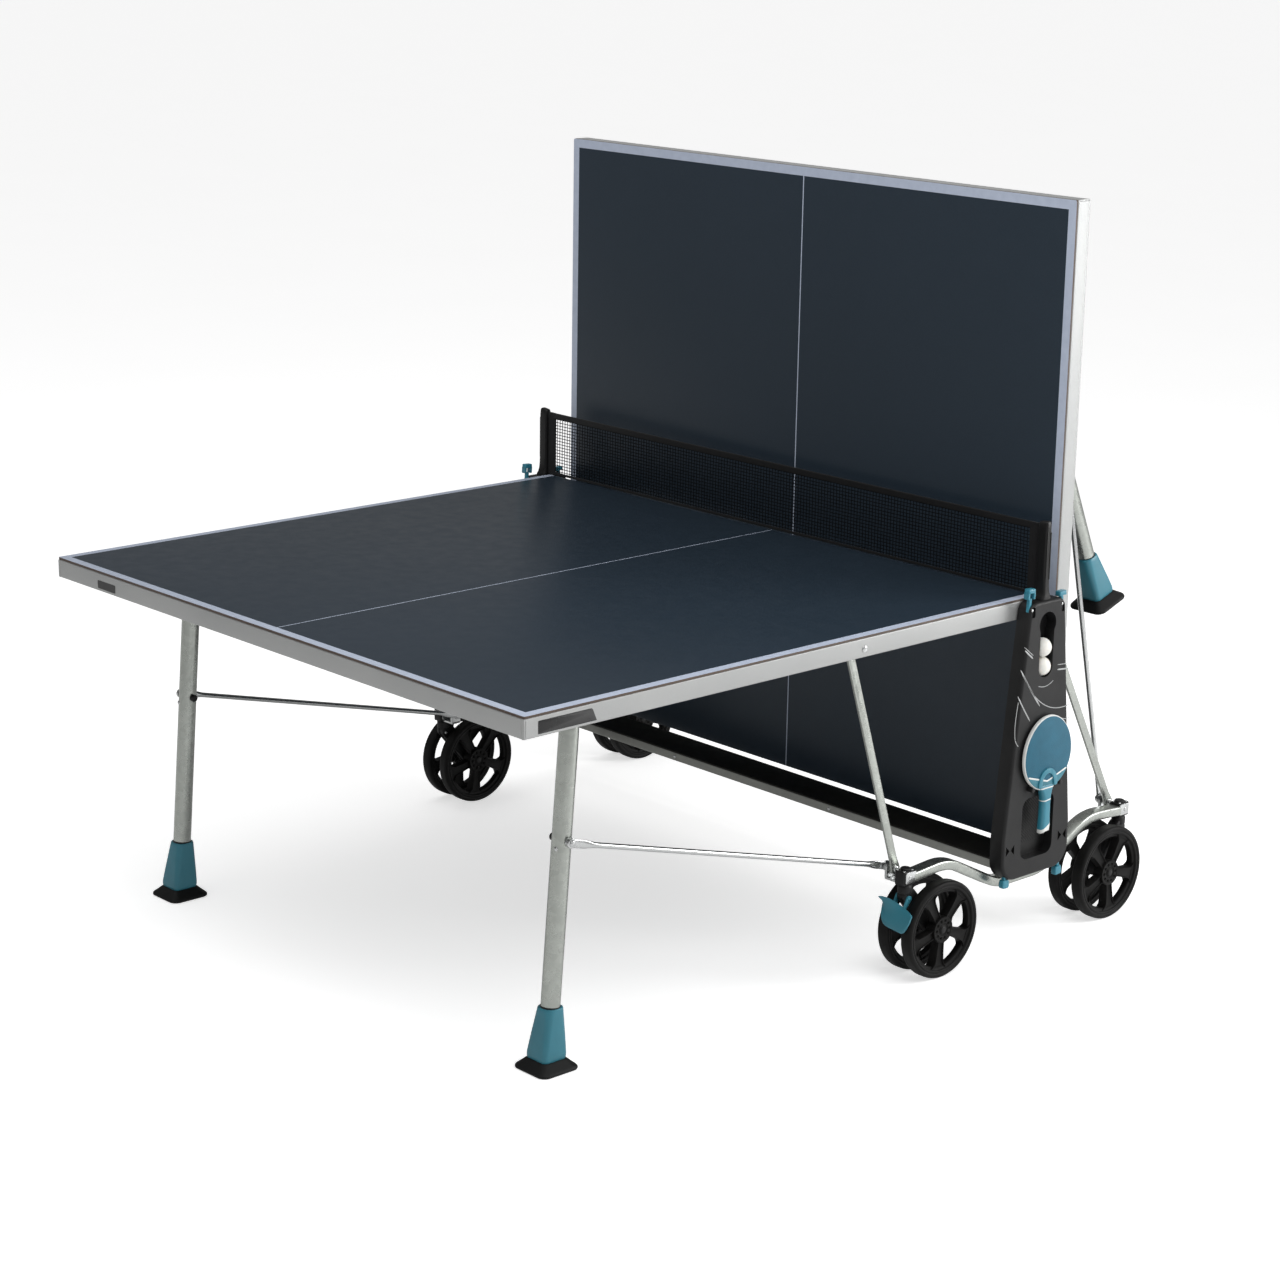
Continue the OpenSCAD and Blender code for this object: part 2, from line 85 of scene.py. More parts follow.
TILT = lean + math.pi / 2
TURN_LEG = folded - lean
TURN_ARM = math.atan2(*(CARRIER - ARM[1])[::-1]) - math.atan2(*(CARRIER - ARM[0])[::-1])
TURN_ROD = math.atan2(*(ROD_PIN_UP - CARRIER)[::-1]) - math.atan2(*(ROD_PIN - CARRIER)[::-1])

net_low, net_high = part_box("net")
NET_PLANE = (net_low.y + net_high.y) / 2

# ---------------------------------------------------------------- placing
FOLDS = {
    "half": (GUIDE[1], math.pi / 2, GUIDE[0]),
    "legs": (LEG[1], TURN_LEG, LEG[0]),
    "arms": (ARM[1], TURN_ARM, ARM[0]),
    "rods": (CARRIER, TURN_ROD, CARRIER),
}


def place(points, kind="chassis", front=True, right=True):
    """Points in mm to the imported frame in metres: rear parts turn about their fold point, front
    parts mirror in y, left parts mirror in x, and all shift so that y = 0 is the net plane."""
    p = np.array(points, float)
    if kind == "guide":
        p[:, 1:] += GUIDE[0] if front else GUIDE[1]
    elif kind in FOLDS and not front:
        to, angle, pivot = FOLDS[kind]
        c, s = math.cos(angle), math.sin(angle)
        q = p[:, 1:] - pivot
        p[:, 1:] = q @ np.array([[c, s], [-s, c]]) + to
    if front:
        p[:, 1] *= -1
    if not right:
        p[:, 0] *= -1
    p *= 0.001
    p[:, 1] += NET_PLANE
    return p


# ---------------------------------------------------------------- forms
class Form:
    """Surfaces gathered for one piece. Each has points in mm, faces of equal corner count,
    a finish number and, where a pattern needs it, two surface coordinates per point."""

    def __init__(self):
        self.points, self.faces, self.finish, self.uv, self.count = [], [], [], [], 0

    def add(self, points, faces, finish=0, uv=None):
        """Adds a surface: its points, and its faces counted from its own first point."""
        points = np.asarray(points, float).reshape(-1, 3)
        for f in faces:
            f = np.asarray(f, np.int64)
            self.faces.append(f + self.count)
            self.finish.append(np.full(len(f), finish))
        self.points.append(points)
        self.uv.append(np.zeros((len(points), 2)) if uv is None else np.asarray(uv, float))
        self.count += len(points)
        return self

    def join(self, other, finish=None):
        """Adds another form's surfaces, with finish numbers moved on by finish."""
        for f, k in zip(other.faces, other.finish):
            self.faces.append(f + self.count)
            self.finish.append(k + (finish or 0))
        self.points += other.points
        self.uv += other.uv
        self.count += other.count
        return self


def grid_faces(rows, cols, wrap_rows=False, wrap_cols=False):
    """Corner numbers of the quads of a grid of rows by cols points."""
    i = np.arange(rows if wrap_rows else rows - 1)
    j = np.arange(cols if wrap_cols else cols - 1)
    a, b = (x.ravel() for x in np.meshgrid(i, j, indexing="ij"))
    a1, b1 = (a + 1) % rows, (b + 1) % cols
    return np.stack([a * cols + b, a1 * cols + b, a1 * cols + b1, a * cols + b1], 1)


def volume(points, faces):
    """Signed volume inside faces: a sum of tetrahedra to the origin over each face's fan."""
    total = 0.0
    for f in faces:
        for k in range(1, f.shape[1] - 1):
            a, b, c = points[f[:, 0]], points[f[:, k]], points[f[:, k + 1]]
            total += float((a * np.cross(b, c)).sum())
    return total


def solid(form, rings, finish=0, wrap=False, uv=None):
    """Closed solid through rings[k, n, 3]: quads between neighbouring rings, a flat face on the
    first and last ring, or the last joined to the first when wrap is true. Faces point out."""
    rings = np.asarray(rings, float)
    k, n = rings.shape[:2]
    points = rings.reshape(-1, 3)
    faces = [grid_faces(k, n, wrap, True)]
    if not wrap:
        faces += [np.arange(n)[None, :], (k - 1) * n + np.arange(n)[None, ::-1]]
    centred = points - points.mean(0)
    if volume(centred, faces) < 0:
        faces = [f[:, ::-1] for f in faces]
    return form.add(points, faces, finish, uv)


def lathe(form, profile, centre, axis=0, n=40, finish=0, closed=False):
    """Turned solid: profile rows are (radius, distance along the axis), carried round it."""
    profile = np.asarray(profile, float)
    t = np.arange(n) * 2 * math.pi / n
    rings = np.zeros((len(profile), n, 3))
    rings[..., axis] = profile[:, 1, None]
    rings[..., (axis + 1) % 3] = profile[:, 0, None] * np.cos(t)
    rings[..., (axis + 2) % 3] = profile[:, 0, None] * np.sin(t)
    return solid(form, rings + np.asarray(centre, float), finish, closed)


def disc_x(form, x0, x1, y, z, r, edge=0.8, n=32, finish=0):
    """Cylinder along x from x0 to x1 with rounded rims."""
    e = min(edge, abs(x1 - x0) / 3, r / 3)
    return lathe(form, [(r - e, x0), (r - 0.3 * e, x0 + 0.3 * e), (r, x0 + e), (r, x1 - e),
                        (r - 0.3 * e, x1 - 0.3 * e), (r - e, x1)], (0, y, z), 0, n, finish)


def dome_x(form, x0, x1, y, z, r, n=24, finish=0):
    """Dome-headed bolt end: a disc at x0 that rounds off towards x1, along x."""
    t = np.linspace(0, math.pi / 2 * 0.93, 7)
    rows = [(r, x0)] + [(r * math.cos(a), x0 + (x1 - x0) * (0.25 + 0.75 * math.sin(a))) for a in t]
    return lathe(form, rows, (0, y, z), 0, n, finish)


def arc(centre, r, start, stop, n):
    """Points on an arc of a circle, angles in degrees."""
    t = np.radians(np.linspace(start, stop, n))
    return np.stack([centre[0] + r * np.cos(t), centre[1] + r * np.sin(t)], 1)


def rounded_box(a, b, r, n=7):
    """Outline of an a by b rectangle with corner radius r, about the origin."""
    x, y = a / 2 - r, b / 2 - r
    return np.concatenate([arc((x, y), r, 0, 90, n), arc((-x, y), r, 90, 180, n),
                           arc((-x, -y), r, 180, 270, n), arc((x, -y), r, 270, 360, n)])


def inset(outline, d):
    """The outline moved inwards by d along its averaged normals, for small d."""
    a, b = np.roll(outline, 1, 0), np.roll(outline, -1, 0)
    t = b - a
    t /= np.linalg.norm(t, axis=1)[:, None] + 1e-9
    normal = np.stack([-t[:, 1], t[:, 0]], 1)
    area = float((outline[:, 0] * b[:, 1] - b[:, 0] * outline[:, 1]).sum())
    return outline + normal * (d if area > 0 else -d)


def plate_x(form, outline, x0, x1, edge=0.8, finish=0):
    """Plate between x0 and x1 from an outline in (y, z), its rims rounded by edge."""
    rows = [(edge, x0), (0.3 * edge, x0 + 0.3 * edge), (0, x0 + edge),
            (0, x1 - edge), (0.3 * edge, x1 - 0.3 * edge), (edge, x1)]
    rings = []
    for d, x in rows:
        o = inset(outline, d)
        rings.append(np.column_stack([np.full(len(o), x), o]))
    return solid(form, np.array(rings), finish)


def around(circles, n=96, less=0.0):
    """Outline of a band pulled tight round circles (y, z, r): at each angle the circle that
    reaches furthest gives the point, each radius being r - less."""
    t = np.arange(n) * 2 * math.pi / n
    d = np.stack([np.cos(t), np.sin(t)], 1)
    c = np.array(circles, float)
    reach = d @ c[:, :2].T + c[:, 2]
    far = reach.argmax(1)
    return c[far, :2] + d * (c[far, 2] - less)[:, None]


def even(outline, n):
    """A closed outline with its points spread evenly along it."""
    p = np.vstack([outline, outline[:1]])
    s = np.concatenate([[0], np.cumsum(np.linalg.norm(np.diff(p, axis=0), axis=1))])
    at = np.arange(n) * s[-1] / n
    return np.stack([np.interp(at, s, p[:, 0]), np.interp(at, s, p[:, 1])], 1)


def tube(form, path, radius, n=24, finish=0, shape=None, across=(1.0, 0.0, 0.0)):
    """Round or shaped section carried along a path of points: at each point the section lies
    in the plane across the path, its first direction kept near the vector across."""
    path = np.asarray(path, float)
    t = np.gradient(path, axis=0)
    t /= np.linalg.norm(t, axis=1)[:, None]
    u = np.asarray(across, float) - (t @ np.asarray(across, float))[:, None] * t
    u /= np.linalg.norm(u, axis=1)[:, None]
    v = np.cross(t, u)
    if shape is None:
        a = np.arange(n) * 2 * math.pi / n
        shape = np.stack([np.cos(a), np.sin(a)], 1)
        shape = np.broadcast_to(shape, (len(path), n, 2)) * np.broadcast_to(
            np.asarray(radius, float).reshape(-1, 1, 1), (len(path), 1, 1))
    elif shape.ndim == 2:
        shape = np.broadcast_to(shape, (len(path), *shape.shape))
    rings = path[:, None] + shape[..., :1] * u[:, None] + shape[..., 1:] * v[:, None]
    return solid(form, rings, finish)


def carve(obj, cutters):
    """Takes the cutters' volumes out of a piece's mesh and drops the cutters."""
    for cutter in cutters:
        m = obj.modifiers.new("cut", "BOOLEAN")
        m.operation, m.object, m.solver = "DIFFERENCE", cutter, "EXACT"
    bpy.context.view_layer.update()
    made = bpy.data.meshes.new_from_object(
        obj.evaluated_get(bpy.context.evaluated_depsgraph_get()))
    obj.modifiers.clear()
    obj.data = made
    for cutter in cutters:
        bpy.data.objects.remove(cutter)


def build(name, form, finishes, kind="chassis", front=True, right=True, angle=38):
    """Mesh object of a form: points placed, faces turned back where a mirror flipped them,
    smooth shading with sharp edges where faces meet at more than angle degrees."""
    points = place(np.vstack(form.points), kind, front, right)
    flip = front != (not right)
    mesh = bpy.data.meshes.new(name)
    mesh.vertices.add(len(points))
    mesh.vertices.foreach_set("co", points.astype(np.float32).ravel())
    groups = [f[:, ::-1] if flip else f for f in form.faces]
    corners = np.concatenate([g.ravel() for g in groups])
    sizes = np.concatenate([np.full(len(g), g.shape[1]) for g in groups])
    starts = np.concatenate([[0], np.cumsum(sizes)[:-1]])
    mesh.loops.add(len(corners))
    mesh.loops.foreach_set("vertex_index", corners.astype(np.int32))
    mesh.polygons.add(len(sizes))
    mesh.polygons.foreach_set("loop_start", starts.astype(np.int32))
    mesh.polygons.foreach_set("material_index", np.concatenate(form.finish).astype(np.int32))
    uv = np.vstack(form.uv)
    if uv.any():
        layer = mesh.uv_layers.new(name="surface")
        layer.data.foreach_set("uv", uv[corners].astype(np.float32).ravel())
    mesh.update(calc_edges=True)
    mesh.validate()
    for m in finishes:
        mesh.materials.append(m)
    mesh.shade_smooth()
    mesh.set_sharp_from_angle(angle=math.radians(angle))
    obj = bpy.data.objects.new(name, mesh)
    scene.collection.objects.link(obj)
    return obj


def fit(obj, body, slot, *nodes):
    """The piece rides on a body and stands for CAD nodes; slot is not used."""
    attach(obj, body)
    if nodes:
        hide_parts(*nodes)
    return obj


def say(front, right=None):
    """Name endings: front or rear, and right or left where it is given."""
    end = "front" if front else "rear"
    return end if right is None else end + ("_right" if right else "_left")


# ---------------------------------------------------------------- finishes
class Finish:
    """A node material on one Principled shader, with short ways to add patterns to it."""

    def __init__(self, name, colour, rough, metal=0.0, **sockets):
        self.m = bpy.data.materials.new(name)
        self.m.use_nodes = True
        self.nodes, self.links = self.m.node_tree.nodes, self.m.node_tree.links
        self.shader = next(n for n in self.nodes if n.type == "BSDF_PRINCIPLED")
        self.shader.inputs["Base Color"].default_value = (*colour, 1)
        self.shader.inputs["Roughness"].default_value = rough
        self.shader.inputs["Metallic"].default_value = metal
        for key, value in sockets.items():
            self.shader.inputs[key.replace("_", " ")].default_value = value
        self.place = self.node("ShaderNodeTexCoord").outputs["Object"]
        self.height = None

    def node(self, kind, **settings):
        """New node; a setting goes to the socket of that name, or else to the property."""
        n = self.nodes.new(kind)
        for key, value in settings.items():
            if key in n.inputs:
                n.inputs[key].default_value = value
            else:
                setattr(n, key, value)
        return n

    def link(self, out, into):
        """Joins an output to an input."""
        self.links.new(out, into)

    def stretched(self, scale):
        """Object coordinates multiplied by scale on each axis."""
        n = self.node("ShaderNodeMapping")
        n.inputs["Scale"].default_value = scale
        self.link(self.place, n.inputs["Vector"])
        return n.outputs["Vector"]

    def noise(self, scale, detail=3.0, rough=0.55, stretch=None):
        """Soft random pattern, from 0 to 1."""
        n = self.node("ShaderNodeTexNoise", Scale=scale, Detail=detail, Roughness=rough)
        self.link(self.stretched(stretch) if stretch else self.place, n.inputs["Vector"])
        return n.outputs["Fac"]

    def cells(self, scale, feature="F1", stretch=None):
        """Random cells, as a Voronoi node."""
        n = self.node("ShaderNodeTexVoronoi", Scale=scale)
        n.feature = feature
        self.link(self.stretched(stretch) if stretch else self.place, n.inputs["Vector"])
        return n

    def ramp(self, value, *stops):
        """Colour or grey between stops (position, colour)."""
        n = self.node("ShaderNodeValToRGB")
        n.color_ramp.elements.remove(n.color_ramp.elements[1])
        for i, (at, c) in enumerate(stops):
            c = (c, c, c, 1) if isinstance(c, (int, float)) else (*c, 1)
            e = n.color_ramp.elements[0] if i == 0 else n.color_ramp.elements.new(at)
            e.position, e.color = at, c
        self.link(value, n.inputs["Fac"])
        return n.outputs["Color"]

    def sum(self, op, a, b, c=None):
        """One step of arithmetic on sockets or numbers."""
        n = self.node("ShaderNodeMath")
        n.operation = op
        for i, x in enumerate((a, b, c)):
            if x is None:
                continue
            if isinstance(x, (int, float)):
                n.inputs[i].default_value = x
            else:
                self.link(x, n.inputs[i])
        return n.outputs[0]

    def mix(self, share, a, b, way="MIX"):
        """Blend of two colours by a share."""
        n = self.node("ShaderNodeMix")
        n.data_type, n.blend_type = "RGBA", way
        for key, x in (("Factor", share), ("A", a), ("B", b)):
            i = next(s for s in n.inputs if s.name == key and s.enabled)
            if isinstance(x, (int, float)):
                i.default_value = x
            elif isinstance(x, tuple):
                i.default_value = (*x, 1)
            else:
                self.link(x, i)
        return next(s for s in n.outputs if s.enabled)

    def colour(self, out):
        """Gives the pattern to the base colour."""
        self.link(out, self.shader.inputs["Base Color"])
        return self

    def rough(self, out):
        """Gives the pattern to the roughness."""
        self.link(out, self.shader.inputs["Roughness"])
        return self

    def bump(self, out, depth, strength=1.0):
        """Height in metres from a 0 to 1 pattern."""
        n = self.node("ShaderNodeBump", Distance=depth, Strength=strength)
        if self.height is not None:
            self.link(self.height, n.inputs["Normal"])
        self.link(out, n.inputs["Height"])
        self.height = n.outputs["Normal"]
        self.link(self.height, self.shader.inputs["Normal"])
        return self

    def cloudy(self, colour, spread, scale=9.0):
        """Base colour that drifts between colour less and more spread."""
        low = tuple(c * (1 - spread) for c in colour)
        high = tuple(min(1.0, c * (1 + spread)) for c in colour)
        return self.colour(self.ramp(self.noise(scale), (0.3, low), (0.7, high)))


def moulded(name, colour, rough, spread=0.10, grain=900.0, depth=0.00012, **sockets):
    """Injection-moulded plastic: fine leather grain, slow colour drift, worn glossier spots."""
    f = Finish(name, colour, rough, **sockets).cloudy(colour, spread, 14.0)
    f.bump(f.noise(grain, 2.0), depth, 0.55)
    f.rough(f.ramp(f.noise(22.0), (0.25, rough - 0.06), (0.75, rough + 0.07)))
    return f.m


def playing_surface():
    """Resin playing top: fine matt grain, slate blue; white side and end lines and a thin centre
    line from the surface coordinates (across, along) in metres. The brown core along its edge is a
    finish of its own."""
    f = Finish("playing_top", (0.018, 0.030, 0.045), 0.36, Specular_IOR_Level=0.36)
    uv = f.node("ShaderNodeUVMap", uv_map="surface")
    split = f.node("ShaderNodeSeparateXYZ")
    f.link(uv.outputs["UV"], split.inputs[0])
    across = f.sum("ABSOLUTE", split.outputs["X"], 0.0)
    along = split.outputs["Y"]
    side = f.sum("GREATER_THAN", across, 0.7425)
    end = f.sum("GREATER_THAN", along, 1.350)
    centre = f.sum("LESS_THAN", across, 0.0014)
    line = f.sum("MAXIMUM", f.sum("MAXIMUM", side, end), centre)
    base = f.ramp(f.noise(2.2, 4.0), (0.25, (0.0168, 0.0285, 0.0425)),
                  (0.75, (0.0192, 0.0315, 0.0470)))
    speck = f.ramp(f.noise(700.0, 1.0), (0.35, 0.90), (0.7, 1.08))
    paint = f.ramp(f.noise(60.0), (0.3, (0.44, 0.495, 0.61)), (0.7, (0.49, 0.545, 0.66)))
    f.colour(f.mix(line, f.mix(1.0, base, speck, "MULTIPLY"), paint))
    f.bump(f.noise(1400.0, 2.0), 0.00008, 0.5)
    f.bump(line, 0.00006, 0.6)
    f.rough(f.ramp(f.noise(30.0), (0.3, 0.33), (0.7, 0.41)))
    return f.m


def painted_skirt():
    """Powder-coated steel: light silver grey with fine orange peel and metallic specks."""
    f = Finish("skirt_coat", (0.60, 0.61, 0.61), 0.42, 0.25)
    base = f.ramp(f.noise(3.0), (0.3, (0.385, 0.392, 0.39)), (0.7, (0.43, 0.435, 0.43)))
    f.colour(f.mix(1.0, base, f.ramp(f.noise(2200.0, 1.0), (0.35, 0.90), (0.65, 1.05)), "MULTIPLY"))
    f.bump(f.noise(420.0, 2.0), 0.0001, 0.5)
    return f.m


def zinc(name, colour, rough, spangle=0.10):
    """Galvanised steel: crystal spangle of soft patches, faint lengthwise rolling marks."""
    f = Finish(name, colour, rough, 0.92)
    patch = f.cells(95.0).outputs["Color"]
    grey = f.node("ShaderNodeSeparateColor")
    f.link(patch, grey.inputs[0])
    shade = f.ramp(grey.outputs[0], (0.0, 1 - spangle), (1.0, 1.0))
    drift = f.ramp(f.noise(7.0), (0.3, tuple(c * 0.93 for c in colour)), (0.7, colour))
    f.colour(f.mix(1.0, drift, shade, "MULTIPLY"))
    f.rough(f.ramp(f.noise(45.0, 3.0), (0.3, rough - 0.05), (0.7, rough + 0.08)))
    f.bump(f.noise(260.0, 2.0), 0.00012, 0.35)
    return f.m


def rubber_face():
    """Bat rubber: rows of fine round pimples under a matt teal sheet."""
    teal = (0.016, 0.110, 0.172)
    f = Finish("bat_rubber", teal, 0.58, Specular_IOR_Level=0.35).cloudy(teal, 0.08, 30.0)
    dots = f.ramp(f.cells(520.0).outputs["Distance"], (0.25, 1.0), (0.45, 0.0))
    f.bump(dots, 0.0003, 0.5)
    return f.m


def tyre():
    """Black wheel rubber: dull, slightly dusty, with a faint scuffed drift."""
    f = Finish("tyre_black", (0.004, 0.004, 0.004), 0.5, Specular_IOR_Level=0.16)
    f.colour(f.ramp(f.noise(40.0, 5.0), (0.35, (0.003, 0.0029, 0.0027)),
                    (0.75, (0.006, 0.0057, 0.0054))))
    f.bump(f.noise(600.0, 3.0), 0.0002, 0.5)
    f.rough(f.ramp(f.noise(25.0), (0.3, 0.46), (0.7, 0.62)))
    return f.m


def woven(name, colour, pitch, depth=0.0002):
    """Woven tape: two crossed sine waves over x and z make the threads."""
    f = Finish(name, colour, 0.78, Sheen_Weight=0.08, Sheen_Roughness=0.5,
               Specular_IOR_Level=0.2)
    w = f.node("ShaderNodeTexWave", Scale=0.5 / pitch / 3.14, Distortion=0.6)
    w.bands_direction = "X"
    v = f.node("ShaderNodeTexWave", Scale=0.5 / pitch / 3.14, Distortion=0.6)
    v.bands_direction = "Z"
    for n in (w, v):
        f.link(f.place, n.inputs["Vector"])
    thread = f.sum("MULTIPLY", w.outputs["Fac"], v.outputs["Fac"])
    f.cloudy(colour, 0.18, 50.0)
    f.bump(thread, depth, 0.6)
    return f.m


TOP_FINISH = playing_surface()
CORE_EDGE = moulded("board_core_edge", (0.085, 0.058, 0.044), 0.6, 0.15)
UNDERSIDE = moulded("board_underside", (0.030, 0.034, 0.038), 0.5, 0.12, 500.0)
SKIRT = painted_skirt()
ZINC = zinc("galvanised_steel", (0.42, 0.44, 0.41), 0.27)
BRIGHT = zinc("zinc_plated_steel", (0.55, 0.56, 0.56), 0.20, 0.03)
BLACK = moulded("black_plastic_moulded", (0.0095, 0.0095, 0.0098), 0.46, Specular_IOR_Level=0.28)
BLACK_SATIN = moulded("black_plastic_satin", (0.007, 0.007, 0.007), 0.40, 0.08, 1500.0, 0.00005,
                      Specular_IOR_Level=0.25)
RUBBER = moulded("pad_rubber", (0.006, 0.0062, 0.0062), 0.55, 0.2, 500.0, 0.0002,
                 Specular_IOR_Level=0.22)
TYRE = tyre()
TEAL = moulded("teal_plastic", (0.030, 0.180, 0.238), 0.38, 0.07, 1100.0, 0.00008)
TEAL_BRIGHT = moulded("teal_grip", (0.030, 0.200, 0.275), 0.35, 0.06, 1100.0, 0.00006)
# black of the crossbeam's top strip: partly black paint, partly painted shade and painted
# reflection of the dark panel above
BEAM_TOP_BLACK_AND_SHADE = moulded("beam_top_black_and_painted_shade", (0.0135, 0.013, 0.011), 0.5, 0.15, 300.0, 0.00015,
                     Specular_IOR_Level=0.25)
BEAM_GREY = zinc("beam_grey_steel", (0.36, 0.365, 0.34), 0.45, 0.05)
NET_CORD = moulded("net_cord", (0.004, 0.005, 0.006), 0.8, 0.15, Specular_IOR_Level=0.1)
TAPE = woven("net_tape", (0.0065, 0.0065, 0.007), 0.0012)
WHITE_TRIM = moulded("white_trim", (0.70, 0.71, 0.69), 0.45, 0.04)
SILVER_INK = moulded("silver_ink", (0.36, 0.37, 0.37), 0.4, 0.12, 900.0, 0.00003, Metallic=0.35)
BALL = moulded("ball_celluloid", (0.80, 0.79, 0.74), 0.42, 0.03, 1600.0, 0.00004,
               Subsurface_Weight=0.12, Subsurface_Radius=(0.004, 0.003, 0.002))
RUBBER_FACE = rubber_face()
PLATE_BLACK = moulded("plate_black", (0.012, 0.012, 0.0125), 0.28, 0.05)


# ---------------------------------------------------------------- playing halves
def board_form():
    """Slab with rounded corners: rings of the outline, inset by the edge radius."""
    form = Form()
    outline = rounded_box(2 * HALF_X, HALF_Y - EDGE_Y, 4.0, 6)
    outline[:, 1] += (HALF_Y + EDGE_Y) / 2
    rows = [(0.8, TOP - BOARD_T), (0.0, TOP - BOARD_T + 0.8), (0.0, TOP - 0.9),
            (0.25, TOP - 0.25), (0.9, TOP)]
    rings = np.array([np.column_stack([inset(outline, d), np.full(len(outline), z)])
                      for d, z in rows])
    uv = rings.reshape(-1, 3)[:, :2] * 0.001
    start = len(form.faces)
    solid(form, rings, 1, uv=uv)
    top_face, under_face = start + 2, start + 1
    form.finish[top_face][:] = 0
    form.finish[under_face][:] = 2
    bevel = form.finish[start]
    bevel[-len(outline):] = 0
    return form


def saddle_form(x):
    """Clamp under the board for the leg bar: a strap bent round the tube with two flat feet."""
    form = Form()
    y, z = LEG[0]
    r = LEG_R + 0.6
    t = 2.5
    under = TOP - BOARD_T
    outer = np.vstack([[y - 30, under], [y - 30, under - t], [y - r - t, under - t],
                       arc((y, z), r + t, 180, 360, 25), [y + r + t, under - t],
                       [y + 30, under - t], [y + 30, under]])
    inner = np.vstack([[y + r, under], arc((y, z), r, 360, 180, 25), [y - r, under]])
    plate_x(form, np.vstack([outer, inner]), x - 14, x + 14, 0.5)
    for s in (-1, 1):
        head = Form()
        lathe(head, [(3.8, under - t), (3.8, under - t - 1.4), (2.6, under - t - 2.6),
                     (0.8, under - t - 3.0)], (x, y + s * 25.6, 0), 2, 16)
        form.join(head, 1)
    return form


def channel():
    """Section of the folded skirt: u inwards from the web, v up, both folds rounded."""
    h, t = SKIRT_H, 2.0
    return np.vstack([
        [LIP, h], [2.5, h], arc((2.5, h - 2.5), 2.5, 90, 180, 5)[1:],
        arc((2.5, 2.5), 2.5, 180, 270, 5), [LIP, 0], [LIP, t], [3.0, t],
        arc((3.0, 3.0), 1.0, 270, 180, 4), arc((3.0, h - 3.0), 1.0, 180, 90, 4), [LIP, h - t]])


def skirt_end_form(outer):
    """Skirt across the half: the channel carried along x, lips mitred at both ends, the web
    ending a little short of the corner where the side skirt wraps round."""
    form = Form()
    c = channel()
    z = TOP - BOARD_T - SKIRT_H + c[:, 1]
    y = HALF_Y - c[:, 0] if outer else EDGE_Y + c[:, 0]
    x = HALF_X - np.maximum(c[:, 0] + 0.3, 7.4)
    rings = np.array([np.column_stack([s * x, y, z]) for s in (-1, 1)])
    solid(form, rings)
    return form


def skirt_side_form():
    """Skirt along the side with a short return round each corner, the bearing plate of the
    guide axle and the pivot bolt of the arm."""
    form = Form()
    c = channel()
    z = TOP - BOARD_T - SKIRT_H + c[:, 1]
    x = HALF_X - c[:, 0]
    y0 = EDGE_Y + 0.2 + c[:, 0]
    y1 = HALF_Y - 0.2 - c[:, 0]
    rings = np.array([np.column_stack([x, y0, z]), np.column_stack([x, y1, z])])
    solid(form, rings)
    low = TOP - BOARD_T - SKIRT_H
    for y, s in ((HALF_Y, -1), (EDGE_Y, 1)):
        corner = np.vstack([[HALF_X - 7.0, y], arc((HALF_X - 2.5, y + s * 2.5), 2.5,
                            90 if s < 0 else -90, 0, 6), [HALF_X, y + s * 3.4],
                            [HALF_X - 1.9, y + s * 3.4], [HALF_X - 1.9, y + s * 1.9],
                            [HALF_X - 7.0, y + s * 1.9]])
        rings = np.array([np.column_stack([corner, np.full(len(corner), v)])
                          for v in (low + 0.5, low + SKIRT_H - 0.5)])
        solid(form, rings)
    bearing = Form()
    outline = rounded_box(36, 30, 4, 5) + np.array([EDGE_Y + 2.4 + 18, GUIDE[0][1]])
    plate_x(bearing, outline, HALF_X - 10, HALF_X - 2.2, 0.6)
    form.join(bearing, 2)
    bolts = Form()
    ay, az = ARM[0]
    disc_x(bolts, ARM_X - 9, HALF_X, ay, az, 5.0, 0.5)
    dome_x(bolts, ARM_X - 8, ARM_X - 12, ay, az, 8.5)
    dome_x(bolts, HALF_X - 0.1, HALF_X + 2.6, ay, az, 7.6)
    form.join(bolts, 1)
    return form


def label_form():
    """Blank oblong plate with one slanting end, stuck on the side skirt near the far corner."""
    form = Form()
    o = np.array([[1337.5, 722.0], [1337.5, 746.5], [1210.9, 746.5], [1200.0, 722.0]])
    plate_x(form, even(o, 80), HALF_X - 0.2, HALF_X + 0.7, 0.3)
    return form


def small_label_form():
    """Small blank oblong plate on the outer end skirt, near its corner."""
    form = Form()
    o = even(rounded_box(66, 17, 1.5, 4) + [576, 731], 80)
    rings = np.array([np.column_stack([inset(o, d)[:, 0], np.full(len(o), y), inset(o, d)[:, 1]])
                      for d, y in ((0.4, HALF_Y - 0.1), (0, HALF_Y + 0.3), (0.2, HALF_Y + 0.6))])
    return solid(form, rings)


for front in (True, False):
    end, half = say(front), "half_" + say(front)
    top = build("playing_top_" + end, board_form(), [TOP_FINISH, CORE_EDGE, UNDERSIDE],
                "half", front)
    fit(top, half, "playing_board", "board_" + end)
    for x, side in ((430, "right"), (-430, "left")):
        clamp = build(f"leg_bar_clamp_{end}_{side}", saddle_form(x), [ZINC, BRIGHT], "half", front)
        fit(clamp, half, "galvanised_tube")
    for outer in (True, False):
        where = "outer" if outer else "inner"
        skirt = build(f"skirt_{end}_{where}", skirt_end_form(outer), [SKIRT], "half", front)
        fit(skirt, half, "skirt_paint", f"rail_{end}_{where}")
    for right in (True, False):
        skirt = build("skirt_" + say(front, right), skirt_side_form(), [SKIRT, BRIGHT, BLACK],
                      "half", front, right)
        fit(skirt, half, "skirt_paint", "rail_" + say(front, right))
label = build("blank_label_plate", label_form(), [PLATE_BLACK], "half", True, True)
fit(label, "half_front", "black_plastic")
label = build("blank_label_small", small_label_form(), [PLATE_BLACK], "half", True, False)
fit(label, "half_front", "black_plastic")


